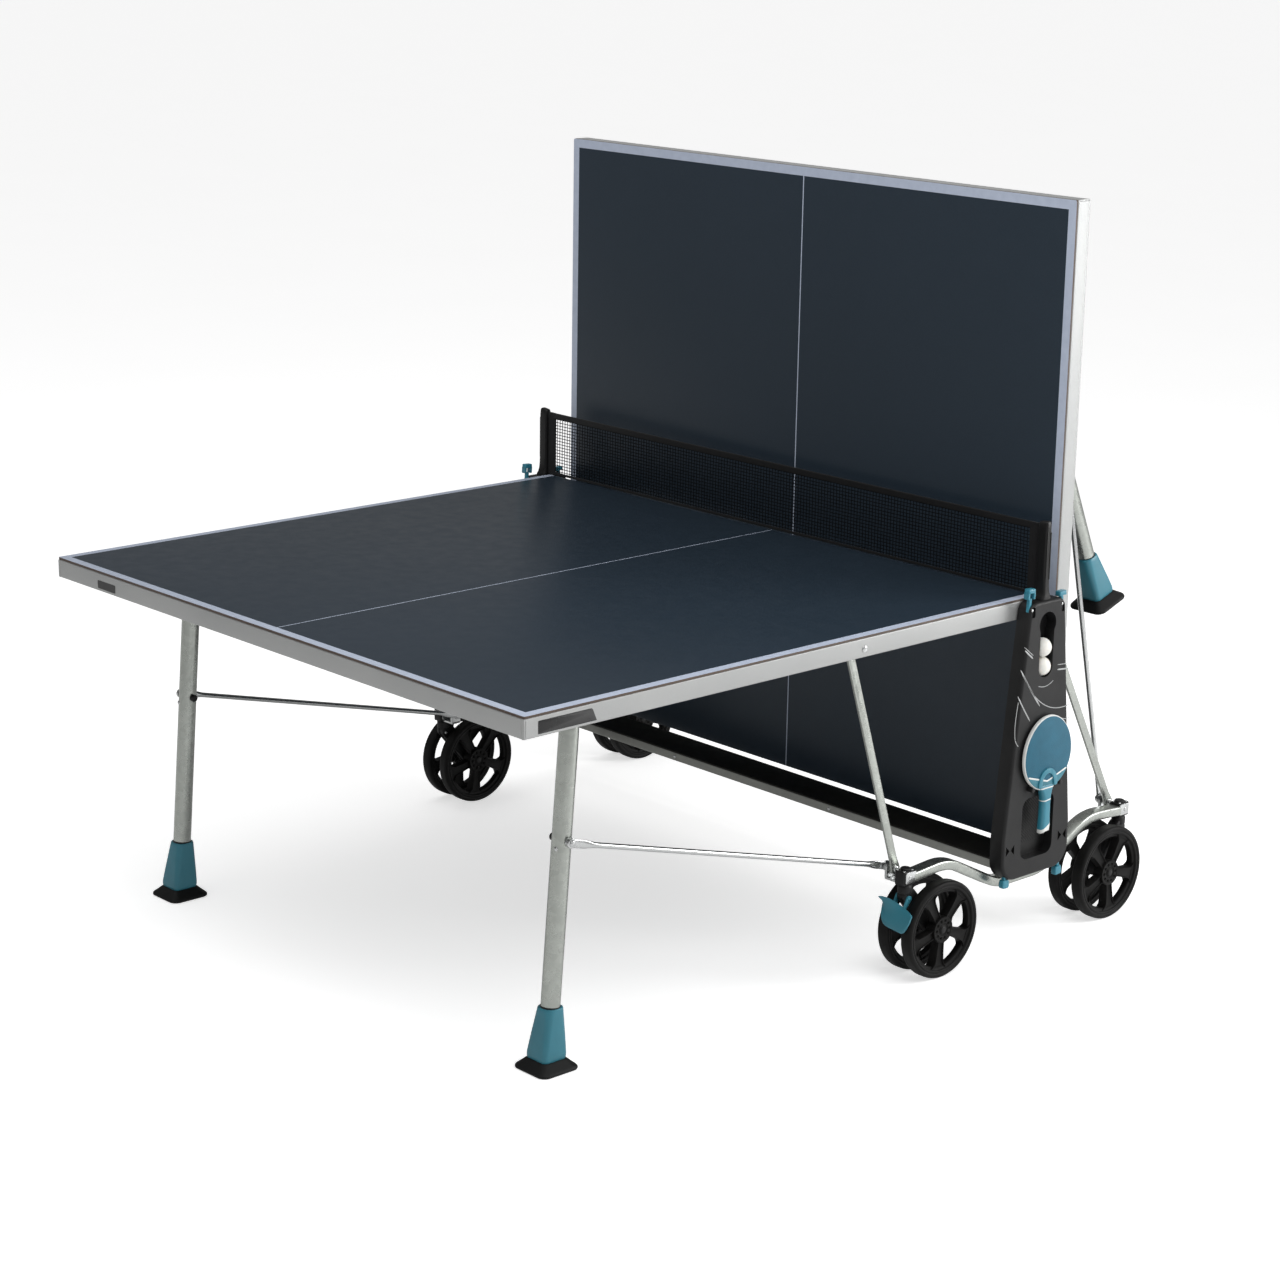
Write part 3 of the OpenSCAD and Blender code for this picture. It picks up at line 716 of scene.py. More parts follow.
# ---------------------------------------------------------------- leg frames
def leg_points(z_low):
    """Centre line of the leg hoop, upright about the leg pivot: up one leg, round the bend,
    along the bar and down the other leg."""
    bend = arc((LEG_X - LEG_BEND, -LEG_BEND), LEG_BEND, 0, 90, 13)
    straight = np.column_stack([np.full(9, LEG_X), np.linspace(z_low, -LEG_BEND, 9)])
    half = np.vstack([straight[:-1], bend, [[LEG_X - LEG_BEND - 120, 0], [200, 0]]])
    both = np.vstack([half, [[0, 0]], half[::-1] * [-1, 1]])
    return np.column_stack([both[:, 0], np.zeros(len(both)), both[:, 1]])


def leaned(points):
    """Points about the leg pivot, turned by the legs' lean and moved to the pivot."""
    p = np.array(points, float)
    c, s = math.cos(TILT), math.sin(TILT)
    y, z = p[..., 1].copy(), p[..., 2].copy()
    p[..., 1] = y * c - z * s + LEG[0][0]
    p[..., 2] = y * s + z * c + LEG[0][1]
    return p


def hoop_form():
    """Both legs and the bar between them as one bent tube."""
    form = Form()
    path = leg_points(-LEG_RUN + PAD_H + 15)
    tube(form, leaned(path), LEG_R, 40, across=(0.0, 1.0, 0.0))
    return form


def leg_bolts_form():
    """Rod bolt through the leg with its outer boss and inner black knob, and a rivet below it."""
    form = Form()
    y, z = ROD_PIN
    disc_x(form, LEG_X + LEG_R - 2, LEG_X + LEG_R + 3, y, z, 8.0)
    knob = Form()
    disc_x(knob, LEG_X - LEG_R - 9, LEG_X - LEG_R + 1, y, z, 7.6, 2.0)
    form.join(knob, 1)
    rivet = Form()
    t = np.linspace(0, 1.4, 6)
    lathe(rivet, [(4.6, -1.0)] + [(4.6 * math.cos(a), 2.8 * math.sin(a)) for a in t],
          (0, 0, 0), 1, 20)
    r = np.vstack(rivet.points)
    r += [LEG_X + 5.5, LEG_R - 1.2, -ROD_L - 14]
    rivet.points = [leaned(r)]
    form.join(rivet)
    return form


def foot_form():
    """Tapered foot: rounded-square rings from the pad's neck up to the collar round the tube,
    each ring's middle following the leaning leg."""
    form = Form()
    slope = math.tan(TILT)
    rows = [(20.0, 54, 9), (21.5, 57, 10), (27.0, 59.2, 10), (34.0, 59, 10), (60.0, 54.5, 11),
            (90.0, 48.8, 12.5), (114.0, 44.2, 13.5), (120.0, 43.0, 14), (121.6, 41.6, 14),
            (122.0, 39.6, 14)]
    rings = []
    for z, side, r in rows:
        o = rounded_box(side, side, r, 9)
        bulge = 1 + 0.012 * np.cos(4 * np.arctan2(o[:, 1], o[:, 0]))
        o = o * bulge[:, None]
        shift = -slope * max(0.0, (z - 30.0)) * FOOT_H / (FOOT_H - 30.0)
        rings.append(np.column_stack([o[:, 0] + LEG_X, o[:, 1] + FOOT[0] + shift,
                                      np.full(len(o), z)]))
    solid(form, np.array(rings))
    collar = Form()
    path = leaned([[LEG_X, 0, -LEG_RUN + z] for z in (PAD_H + 70, FOOT_H + 1.6, FOOT_H + 2.6)])
    tube(collar, path, [LEG_R + 0.9, LEG_R + 0.9, LEG_R + 0.1], 40, across=(0.0, 1.0, 0.0))
    form.join(collar, 1)
    return form


def pad_form():
    """Square rubber pad: a low rim, then a hollow slope up to the neck of the foot."""
    form = Form()
    rows = [(0.0, 90, 17), (1.2, 94, 18), (3.0, 95, 18), (5.6, 94, 18), (8.0, 89.5, 17.5),
            (12.0, 80, 16), (16.0, 71.5, 14), (19.5, 64, 12.5), (21.4, 60, 12), (22.0, 57, 11)]
    rings = []
    for z, side, r in rows:
        o = rounded_box(side, side, r, 9)
        rings.append(np.column_stack([o[:, 0] + LEG_X, o[:, 1] + FOOT[0], np.full(len(o), z)]))
    solid(form, np.array(rings))
    return form


for front in (True, False):
    end, legs = say(front), "legs_" + say(front)
    hoop = build("leg_hoop_" + end, hoop_form(), [ZINC], "legs", front)
    fit(hoop, legs, "galvanised_tube", f"leg_{end}_right", f"leg_{end}_left", "leg_bar_" + end)
    for right in (True, False):
        who = say(front, right)
        fit(build("foot_cone_" + who, foot_form(), [TEAL, BLACK], "legs", front, right),
            legs, "teal_plastic", "foot_" + who)
        fit(build("foot_pad_" + who, pad_form(), [RUBBER], "legs", front, right),
            legs, "black_plastic")
        fit(build("leg_bolts_" + who, leg_bolts_form(), [BRIGHT, BLACK], "legs", front, right),
            legs, "bright_steel")


# ---------------------------------------------------------------- arms and rods
def arm_form():
    """Flat bar with round eyes: straight edges between two end arcs, and the lower eye's bolt."""
    form = Form()
    a, b = ARM[0], CARRIER
    d = b - a
    n = float(np.linalg.norm(d))
    along, side = d / n, np.array([-d[1], d[0]]) / n
    s = np.concatenate([np.linspace(0, math.pi, 13), ])
    top_eye = [(-14 * math.sin(t), -14 * math.cos(t)) for t in s]
    low_eye = [(n + 12 * math.sin(t), 12 * math.cos(t)) for t in s]
    neck = [(24, 9.3), (n - 22, 9.3)]
    back = [(n - 22, -9.3), (24, -9.3)]
    local = np.array([*top_eye, *neck, *low_eye, *back])
    outline = a + local[:, :1] * along + local[:, 1:] * side
    plate_x(form, outline, ARM_X - 3, ARM_X + 3, 0.9)
    bolt = Form()
    disc_x(bolt, ARM_X - 7, ARM_X + 3.5, *b, 6.6)
    dome_x(bolt, ARM_X + 2.8, ARM_X + 8.0, *b, 7.0)
    form.join(bolt, 1)
    return form


def rod_form():
    """Round rod whose ends are pressed flat: the section goes from a flat oblong to a circle
    over the last 55 mm, and each end closes in an eye on its bolt."""
    form = Form()
    d = ROD_PIN - CARRIER
    a = math.atan2(d[1], d[0])
    k = np.concatenate([np.linspace(2, 70, 16), np.linspace(90, ROD_LEN - 90, 15),
                        np.linspace(ROD_LEN - 70, ROD_LEN - 2, 16)])
    flat = np.clip((np.abs(k - ROD_LEN / 2) - (ROD_LEN / 2 - 62)) / 34, 0, 1)
    flat = flat * flat * (3 - 2 * flat)
    wide, thin = 5.5 + 3.2 * flat, 5.5 - 3.0 * flat
    t = np.arange(24) * 2 * math.pi / 24
    shape = np.stack([thin[:, None] * np.cos(t), wide[:, None] * np.sin(t)], 2)
    x = ROD_X0 + (ROD_X1 - ROD_X0) * k / ROD_LEN
    path = np.column_stack([x, CARRIER[0] + k * math.cos(a), CARRIER[1] + k * math.sin(a)])
    tube(form, path, 0, shape=shape)
    disc_x(form, ROD_X0 - 3.2, ROD_X0 + 3.2, *CARRIER, 10.8, 1.2)
    disc_x(form, ROD_X1 - 3.2, ROD_X1 + 3.2, *ROD_PIN, 9.8, 1.2)
    dome_x(form, ROD_X1 + 3.0, ROD_X1 + 6.8, *ROD_PIN, 6.4)
    return form


def axle_form():
    """Guide axle across the half, with a grooved roller at each end."""
    form = Form()
    disc_x(form, -773, 773, 0, 0, 5.0, 1.0, 28)
    rollers = Form()
    for s in (-1, 1):
        lathe(rollers, [(5.1, s * 766.6), (7.4, s * 766.6), (8.0, s * 767.4), (8.0, s * 769.2),
                        (7.3, s * 769.8), (7.3, s * 770.4), (8.0, s * 771.0), (8.0, s * 772.8),
                        (7.4, s * 773.6), (5.1, s * 773.6)], (0, 0, 0), 0, 32)
    form.join(rollers, 1)
    return form


for front in (True, False):
    end = say(front)
    fit(build("guide_axle_bar_" + end, axle_form(), [BRIGHT, BLACK], "guide", front),
        "guide_" + end, "bright_steel", "guide_axle_" + end)
    for right in (True, False):
        who = say(front, right)
        fit(build("stay_bar_" + who, arm_form(), [ZINC, BRIGHT], "arms", front, right),
            "arms_" + end, "galvanised_tube", "arm_" + who)
        fit(build("stay_rod_" + who, rod_form(), [BRIGHT], "rods", front, right),
            "rods_" + end, "bright_steel", "rod_" + who)


# ---------------------------------------------------------------- chassis
def bezier(a, b, c, n):
    """Quadratic curve from a to c drawn towards b."""
    t = np.linspace(0, 1, n)[:, None]
    return (1 - t) ** 2 * np.array(a) + 2 * t * (1 - t) * np.array(b) + t * t * np.array(c)


def wheel_beam_form():
    """Rectangular tube with rounded corners carried along its bent path from caster to caster,
    with the caster heads, rod brackets, bolts and the saddle under the crossbeam."""
    form = Form()
    one = np.vstack([[0, 150], [25, 150], bezier((45, 150), (70, 150), (95, 163), 9),
                     bezier((192, 213), (224, 230), (262, 228), 9), [300, 225.4], [331, 223]])
    both = np.vstack([one[:0:-1] * [-1, 1], one])
    path = np.column_stack([np.full(len(both), CAST_X), both])
    tube(form, path, 0, shape=rounded_box(32, 21, 4.5, 5))
    heads, bolts, bracket = Form(), Form(), Form()
    for s in (-1, 1):
        def flip(f):
            """The form, mirrored front to back where s is negative."""
            for p in f.points:
                p[:, 1] *= s
            if s < 0:
                f.faces = [q[:, ::-1] for q in f.faces]
            return f
        block = Form()
        o = rounded_box(26, 33.6, 4, 5)
        rows = [(1.2, 209), (0, 210.2), (0, 237.6), (0.6, 238.6), (2.0, 239.2)]
        solid(block, np.array([np.column_stack([inset(o, d) + [CAST_X, 345], np.full(len(o), z)])
                               for d, z in rows]))
        heads.join(flip(block))
        b = Form()
        for y in (333.5, 356.5):
            for x in (CAST_X - 8.5, CAST_X + 8.5):
                lathe(b, [(2.9, 238.8), (2.9, 239.6), (2.2, 240.4), (1.0, 240.6)], (x, y, 0), 2, 16)
        for side in (-1, 1):
            cheek = even(rounded_box(30, 24, 3, 5) + [342, 225.5], 60)
            plate_x(b, cheek, CAST_X + side * 14.4 - 1.4, CAST_X + side * 14.4 + 1.4, 0.5)
        dome_x(b, CAST_X + 15.6, CAST_X + 17.6, 345, 225, 5.0)
        bolts.join(flip(b))
        p = Form()
        shelf = rounded_box(35, 26, 2, 4)
        solid(p, np.array([np.column_stack([inset(shelf, d) + [717.5, 341], np.full(len(shelf), z)])
                           for d, z in ((0.5, 209), (0, 209.6), (0, 213.4), (0.5, 214))]))
        ear = around([(CARRIER[0], CARRIER[1], 13), (333, 214, 4.5), (349.5, 214, 4.5)], 72)
        plate_x(p, ear, ARM_X - 16, ARM_X - 10, 0.8)
        disc_x(p, ROD_X0 - 6, ARM_X - 14, *CARRIER, 5.0, 0.4)
        dome_x(p, ROD_X0 - 5, ROD_X0 - 9.4, *CARRIER, 8.4)
        bracket.join(flip(p))
    form.join(heads, 1)
    form.join(bolts, 2)
    form.join(bracket, 2)
    seat = Form()
    o = rounded_box(31, 90, 3, 4)
    solid(seat, np.array([np.column_stack([inset(o, d) + [CAST_X, 0], np.full(len(o), z)])
                          for d, z in ((0.4, 160), (0, 160.4), (0, 167.9), (0.1, 168.0))]))
    form.join(seat)
    return form


def crossbeam_form():
    """Wide flat tube across the table with a black strip on top, whose black is partly black paint
    and partly painted shade and painted reflection of the dark panel above, and a row of screws
    along each edge face."""
    form = Form()
    o = rounded_box(100, 20, 2.6, 5) + [0, 178]
    plate_x(form, o, -CAD_X0 + 0.2, CAD_X0 - 0.2, 0.3)
    # top strip: its black is partly black paint, partly painted shade and painted reflection of the
    # dark panel above
    cap = Form()
    rail = np.vstack([[-49.6, 187.4], [-49.6, 189.6], arc((-48.2, 189.6), 1.4, 180, 90, 4),
                      arc((48.2, 189.6), 1.4, 90, 0, 4), [49.6, 187.4]])
    plate_x(cap, rail, -CAD_X0 + 0.3, CAD_X0 - 0.3, 0.2)
    form.join(cap, 1)
    screws = Form()
    for x in (-728, -250, 250, 728):
        for s in (-1, 1):
            f = Form()
            t = np.linspace(0, 1.35, 5)
            lathe(f, [(4.2, 49.5)] + [(4.2 * math.cos(a), 50 + 1.6 * math.sin(a)) for a in t],
                  (0, 0, 0), 1, 18)
            p = np.vstack(f.points)
            p[:, 1] *= s
            if s < 0:
                f.faces = [q[:, ::-1] for q in f.faces]
            f.points = [p + [x, 0, 178]]
            screws.join(f)
    form.join(screws, 2)
    return form


CADDY = [(34, CAD_TOP - 22, 22), (-34, CAD_TOP - 22, 22), (CAD_HW - 14, 262, 14),
         (14 - CAD_HW, 262, 14), (60, 212, 46), (-60, 212, 46), (0, CAD_BOT + 60, 60)]


def caddy_shell():
    """Moulded side panel: rings of the outline from the inner edge out to a soft shoulder,
    each ring moved inwards by a quarter-ellipse law, closed by the flat outer face."""
    form = Form()
    rows = [(1.0, CAD_X0), (0.3, CAD_X0 + 0.4), (0.0, CAD_X0 + 1.2), (0.0, CAD_X1 - 7.0)]
    rows += [(6.5 * (1 - math.cos(a)), CAD_X1 - 7.0 + 7.0 * math.sin(a))
             for a in np.radians(np.linspace(12, 90, 8))]
    rows += [(8.5, CAD_X1)]
    base = even(around(CADDY, 2880), 360)
    rings = [np.column_stack([np.full(len(base), x), inset(base, d)]) for d, x in rows]
    solid(form, np.array(rings))
    return form


def prism(outline, x0, x1, name="cutter", right=True):
    """Plain cutting body from an outline, between x0 and x1."""
    f = Form()
    rings = np.array([np.column_stack([np.full(len(outline), x), outline]) for x in (x0, x1)])
    solid(f, rings)
    return build(name, f, [BLACK], "chassis", False, right)


def slot_line(a, b, w, n=16):
    """Outline of a slot of width w with round ends at a and b."""
    return around([(a[0], a[1], w / 2), (b[0], b[1], w / 2)], 4 * n)


LATCH_TOP, LATCH_LOW = np.array([50.0, 760.0]), np.array([85.0, 170.0])
LATCH_LEN = float(np.linalg.norm(LATCH_TOP - LATCH_LOW))
LATCH_DIR = (LATCH_TOP - LATCH_LOW) / LATCH_LEN
LATCH_SIDE = np.array([LATCH_DIR[1], -LATCH_DIR[0]])


def caddy_cutters(right):
    """Ball chute, bat pocket, guide tracks, latch channels, screw seats and vents."""
    chute = np.vstack([arc((0, 615.5), 21.5, 180, 360, 21), [21.5, 692],
                       arc((0, 707), 26, -34, 214, 31), [-21.5, 692]])
    groove = around([(0, 612, 15.8), (0, 656, 15.8)], 64)
    pocket = around([(-29, 226, 21), (29, 226, 21), (-29, 318, 21), (29, 318, 21)], 96)
    cuts = [prism(chute, 776, CAD_X1 + 2, right=right), prism(groove, 767.5, 777, right=right),
            prism(pocket, 779, CAD_X1 + 2, right=right)]
    for s in (-1, 1):
        track = slot_line((s * GUIDE[0][0], GUIDE[0][1]), (s * GUIDE[1][0], GUIDE[1][1]), 16.2)
        cuts.append(prism(track, CAD_X0 - 1, 774.5, right=right))
        a = LATCH_LOW - LATCH_DIR * 60
        b = LATCH_TOP + LATCH_DIR * 60
        side = LATCH_SIDE * 4.4
        o = np.array([a + side, b + side, b - side, a - side]) * [s, 1]
        cuts.append(prism(o, 785.8, 794.2, right=right))
        for tip in (-1, 1):
            c = np.array([s * 83.0, 235.0])
            tri = np.array([[tip * 2.0, 0], [tip * 13.0, 11.0], [tip * 13.0, -11.0]]) + c
            cuts.append(prism(tri, CAD_X1 - 5.0, CAD_X1 + 2, right=right))
        seat = rounded_box(11, 22, 3, 5) + [s * 47.0, 738.0]
        cuts.append(prism(seat, CAD_X1 - 4.2, CAD_X1 + 2, right=right))
    return cuts


def ribbon(line, width):
    """Outline of a strip of the given width along a line of points, tapering at its ends."""
    line = np.asarray(line, float)
    t = np.gradient(line, axis=0)
    t /= np.linalg.norm(t, axis=1)[:, None]
    n = np.stack([-t[:, 1], t[:, 0]], 1)
    w = np.full(len(line), width / 2)
    w[[0, -1]] *= 0.3
    return np.vstack([line + n * w[:, None], (line - n * w[:, None])[::-1]])


def caddy_lines_form():
    """Thin printed strokes on the panel's face: straight pairs and shallow curves."""
    form = Form()
    strokes = [([(-71, 670), (-41, 647)], 1.3), ([(-68, 662), (-42, 641)], 3.2),
               ([(38, 614), (74, 611)], 1.3), ([(38.5, 603.5), (75, 600)], 3.2),
               ([(-79, 623), (-46, 577), (-12, 534)], 3.6),
               ([(-84, 568), (-63, 537), (-41, 507)], 3.0)]
    for pts, w in strokes:
        p = np.array(pts, float)
        s = np.linspace(0, len(p) - 1, 9)
        line = np.stack([np.interp(s, np.arange(len(p)), p[:, i]) for i in (0, 1)], 1)
        plate_x(form, ribbon(line, w), CAD_X1 - 0.1, CAD_X1 + 0.15, 0.05)
    curves = [((-70, 612), (-8, 505), (86, 521), 1.8), ((-20, 578), (6, 568), (27, 583), 1.4),
              ((-81, 556), (-92, 500), (-85, 474), 1.8), ((-85, 474), (-80, 464), (-74, 459), 1.8),
              ((58, 496), (72, 489), (86, 492), 1.6)]
    for a, b, c, w in curves:
        plate_x(form, ribbon(bezier(a, b, c, 24), w), CAD_X1 - 0.1, CAD_X1 + 0.15, 0.05)
    return form


def pocket_ribs_form():
    """Lining of the bat pocket: a grid whose height is a triangle wave along the diagonal."""
    form = Form()
    y, z = np.meshgrid(np.linspace(-47.5, 47.5, 96), np.linspace(208, 336.5, 130), indexing="ij")
    wave = np.abs(((y + z) / 7.0) % 1.0 - 0.5) * 2
    fade = np.clip((z - 232) / 10, 0, 1) * np.clip((332 - z) / 6, 0, 1)
    x = 779.05 + 1.5 * wave * fade
    corner = np.hypot(np.maximum(np.abs(y) - 29, 0), np.maximum(np.abs(z - 272) - 46, 0))
    shrink = np.where(corner > 20.6, 20.6 / np.maximum(corner, 1e-6), 1.0)
    yy = np.sign(y) * (np.minimum(np.abs(y), 29) + np.maximum(np.abs(y) - 29, 0) * shrink)
    zz = 272 + np.sign(z - 272) * (np.minimum(np.abs(z - 272), 46)
                                   + np.maximum(np.abs(z - 272) - 46, 0) * shrink)
    p = np.stack([x, yy, zz], 2)
    form.add(p, [grid_faces(*y.shape)])
    return form


def caddy_fittings_form():
    """Bright screws in their seats and the two rest pegs under the bat."""
    form = Form()
    for s in (-1, 1):
        y, z = s * 47.0, 742.0
        dome_x(form, CAD_X1 - 4.3, CAD_X1 - 2.2, y, z, 3.4)
    pegs = Form()
    for y in (-34, 54):
        disc_x(pegs, CAD_X1 - 4, CAD_X1 + 14, y, 359, 5.0, 1.6, 28)
    form.join(pegs, 1)
    return form


def net_post_form():
    """Post: rounded-box sections that start wide on the caddy, draw in and lean off at the top,
    with a raised rib up the outer face."""
    form = Form()
    rows = [(757.2, 782, 28.0, 34.0), (759.5, 782, 28.4, 34.0), (765.0, 781.5, 27.4, 27.0),
            (773.0, 781, 26.6, 20.5), (784.0, 780.5, 26.0, 18.4), (800.0, 780, 25.4, 18.0),
            (860.0, 780, 25.2, 17.6), (905.0, 780, 25.0, 17.0), (915.0, 780, 24.0, 15.6),
            (918.6, 780, 22.0, 13.0), (920.0, 780, 18.0, 9.0)]
    rings = []
    for z, x, a, b in rows:
        o = rounded_box(a, b, min(a, b) * 0.28, 6)
        slope = np.where(z > 900, -0.16 * (782 - o[:, 0] - x), 0.0)
        rings.append(np.column_stack([o[:, 0] + x, o[:, 1], z + np.minimum(slope, 0)]))
    solid(form, np.array(rings))
    for y in (-5.2, 5.2):
        rib = around([(y, 800, 1.3), (y, 896, 1.3)], 24)
        plate_x(form, rib, 791.5, 793.6, 0.5)
    return form


def net_mesh_form(pitch_x, pitch_z, cord):
    """Knotless netting as a lattice: lines of points on both sides of every cord, and only the
    faces on cords kept, so each square between them is a real opening."""
    x0, z0, z1 = 744.0, TOP + 4.0, TOP + NET_H - 14.0
    nx, nz = int(round(2 * x0 / pitch_x)), int(round((z1 - z0) / pitch_z))
    cx, cz = np.linspace(-x0, x0, nx + 1), np.linspace(z0, z1, nz + 1)
    x = (cx[:, None] + np.array([-cord, cord]) / 2).ravel()
    z = (cz[:, None] + np.array([-cord, cord]) / 2).ravel()
    gx, gz = np.meshgrid(x, z, indexing="ij")
    sag = 0.6 * np.sin(gx / 91.0) * np.sin((gz - z0) / (z1 - z0) * math.pi)
    faces = grid_faces(len(x), len(z))
    i, j = np.divmod(np.arange(len(faces)), len(z) - 1)
    faces = faces[(i % 2 == 0) | (j % 2 == 0)]
    form = Form()
    form.add(np.stack([gx, sag, gz], 2), [faces])
    area = 2 * x0 * (z1 - z0) * (1 - (1 - cord / pitch_x) * (1 - cord / pitch_z))
    return form, (2 * x0 * 0.001, (z1 - z0) * 0.001), area * 1e-6


def net_tape_form():
    """Top tape folded over the cord and the thin bottom cord, both carried along x."""
    form = Form()
    o = np.vstack([arc((0, 910.6), 2.3, 0, 180, 11), [-1.9, 899.6], [-1.2, 899.2],
                   [1.2, 899.2], [1.9, 899.6]])
    plate_x(form, even(o, 48), -768, 768, 0.4)
    low = rounded_box(2.6, 6.4, 1.2, 4) + [0, 765.2]
    plate_x(form, low, -766, 766, 0.4)
    return form


def net_band_form():
    """Band at the net's end: a flat sleeve from the netting to the post, slightly crowned."""
    form = Form()
    n = 15
    x = np.linspace(741.5, 769.5, n)
    z = np.array([761.2, 762.4, 800, 850, 898, 911.6, 912.8])
    gx, gz = np.meshgrid(x, z, indexing="ij")
    crown = 1.3 + 0.9 * np.sin((gx - x[0]) / (x[-1] - x[0]) * math.pi)
    one, other = np.stack([gx, crown, gz], 2), np.stack([gx, -crown, gz], 2)
    solid(form, np.concatenate([one, other[:, ::-1]], 1))
    return form


for right in (True, False):
    side = "right" if right else "left"
    beam = build("wheel_beam_tube_" + side, wheel_beam_form(), [ZINC, BLACK, BRIGHT],
                 "chassis", False, right)
    fit(beam, "chassis", "galvanised_tube", "wheel_beam_" + side)
    shell = build("caddy_shell_" + side, caddy_shell(), [BLACK], "chassis", False, right)
    carve(shell, caddy_cutters(right))
    shell.data.shade_smooth()
    shell.data.set_sharp_from_angle(angle=math.radians(33))
    fit(shell, "chassis", "black_plastic", "caddy_" + side)
    fit(build("caddy_lines_" + side, caddy_lines_form(), [SILVER_INK], "chassis", False, right),
        "chassis", "black_plastic")
    fit(build("pocket_ribs_" + side, pocket_ribs_form(), [BLACK_SATIN], "chassis", False, right),
        "chassis", "black_plastic")
    fit(build("caddy_fittings_" + side, caddy_fittings_form(), [BRIGHT, BLACK], "chassis", False,
              right), "chassis", "bright_steel")
    post = build("net_post_cap_" + side, net_post_form(), [BLACK_SATIN], "chassis", False, right)
    fit(post, "chassis", "black_plastic", "net_post_" + side)
    fit(build("net_end_band_" + side, net_band_form(), [TAPE], "chassis", False, right),
        "chassis", "net_cloth")
fit(build("crossbeam_tube", crossbeam_form(), [BEAM_GREY, BEAM_TOP_BLACK_AND_SHADE, BRIGHT], "chassis", False),
    "chassis", "beam_dark", "crossbeam")
mesh_form, flat_size, flat_area = net_mesh_form(9.0, 7.6, 1.7)
netting = build("net_mesh", mesh_form, [NET_CORD], "chassis", False)
wall = netting.modifiers.new("cord_depth", "SOLIDIFY")
wall.thickness, wall.offset = 0.0007, 0.0
fit(netting, "chassis", "net_cloth", "net")
tape = fit(build("net_tape", net_tape_form(), [TAPE], "chassis", False), "chassis", "net_cloth")


# ---------------------------------------------------------------- casters
def fork_form():
    """Caster fork: a tapering nose pulled round two circles, waisted sides, swivel stem with a
    collar, wheel axle with end caps and the pin of the brake."""
    form = Form()
    c = [(CAST_Y - 6, 183, 17), (CAST_Y - TRAIL, WHEEL_R, 17)]
    rows = [(2.5, -12), (0.7, -11.2), (0, -10), (0, -4), (1.6, -3), (1.6, 3), (0, 4), (0, 10),
            (0.7, 11.2), (2.5, 12)]
    rings = np.array([np.column_stack([np.full(96, CAST_X + x), around(c, 96, d)])
                      for d, x in rows])
    solid(form, rings)
    lathe(form, [(13.5, 190), (15, 191.5), (15, 205), (14, 206.4), (12.6, 208.3)],
          (CAST_X, CAST_Y, 0), 2, 40)
    pin, caps = Form(), Form()
    lathe(caps, [(5.8, 200), (5.8, 239), (10.4, 239.5), (11, 240.2), (11, 242.4), (9.6, 243.8),
                (4.0, 244.3)], (CAST_X, CAST_Y, 0), 2, 32)
    reach = PAIR + WHEEL_W / 2
    disc_x(caps, CAST_X - reach + 1, CAST_X + reach - 1, CAST_Y - TRAIL, WHEEL_R, 6.6, 2.0)
    disc_x(pin, CAST_X - 17, CAST_X + 17, CAST_Y + 3, 180, 3.0, 0.5, 20)
    form.join(pin, 1)
    form.join(caps)
    return form


def wheel_ring_form(form):
    """Tyre and rim: a closed section turned round the axle, with rounded shoulders, a shallow
    groove beside the tread and a stepped rim inside."""
    r, w = WHEEL_R, WHEEL_W / 2
    half = [(80.0, 0.0), (80.0, w - 7.5), (81.0, w - 6.2), (85.0, w - 5.6), (86.4, w - 4.8),
            (87.0, w - 2.2), (88.2, w - 1.2), (91.5, w - 0.9), (92.6, w - 1.6), (93.6, w - 0.7),
            (96.5, w), (99.0, w - 0.3), (101.2, w - 1.5), (102.7, w - 3.4), (103.3, w - 5.8),
            (r, w - 8.5)]
    half = np.array(half)
    mirror = half[1:][::-1] * [1, -1]
    section = np.vstack([half, mirror])
    return lathe(form, section, (0, 0, 0), 0, 96, closed=True)


def spoke_form(form, turn):
    """Spoke: stations from hub to rim; each section is a shallow channel between two thin
    raised edges, and its width grows with the square of the way out, then flares at the rim."""
    k = np.linspace(0, 1, 19)
    r = 18 + 64.0 * k
    w = 9.2 + 5.0 * k ** 2 + 9.0 * np.clip((k - 0.8) / 0.2, 0, 1) ** 2 \
        + 2.5 * np.clip(0.16 - k, 0, 1) / 0.16
    d = 9.4 + 1.6 * k
    rib = 2.1 / w
    edge = 1 - rib
    one = np.ones_like(w)
    sec_u = np.stack([-one, -one + 0.3 * rib, -edge - 0.2 * rib, -edge + 0.3 * rib, -0.3 * one,
                      0.3 * one, edge - 0.3 * rib, edge + 0.2 * rib, one - 0.3 * rib, one], 1)
    sec_h = np.array([0.78, 1.0, 1.0, 0.70, 0.62, 0.62, 0.70, 1.0, 1.0, 0.78]) * one[:, None]
    across = w[:, None] * np.concatenate([sec_u, sec_u[:, ::-1]], 1)
    depth = d[:, None] * np.concatenate([sec_h, -sec_h[:, ::-1]], 1)
    y = r[:, None] * math.cos(turn) - across * math.sin(turn)
    z = r[:, None] * math.sin(turn) + across * math.cos(turn)
    return solid(form, np.stack([depth, y, z], 2))


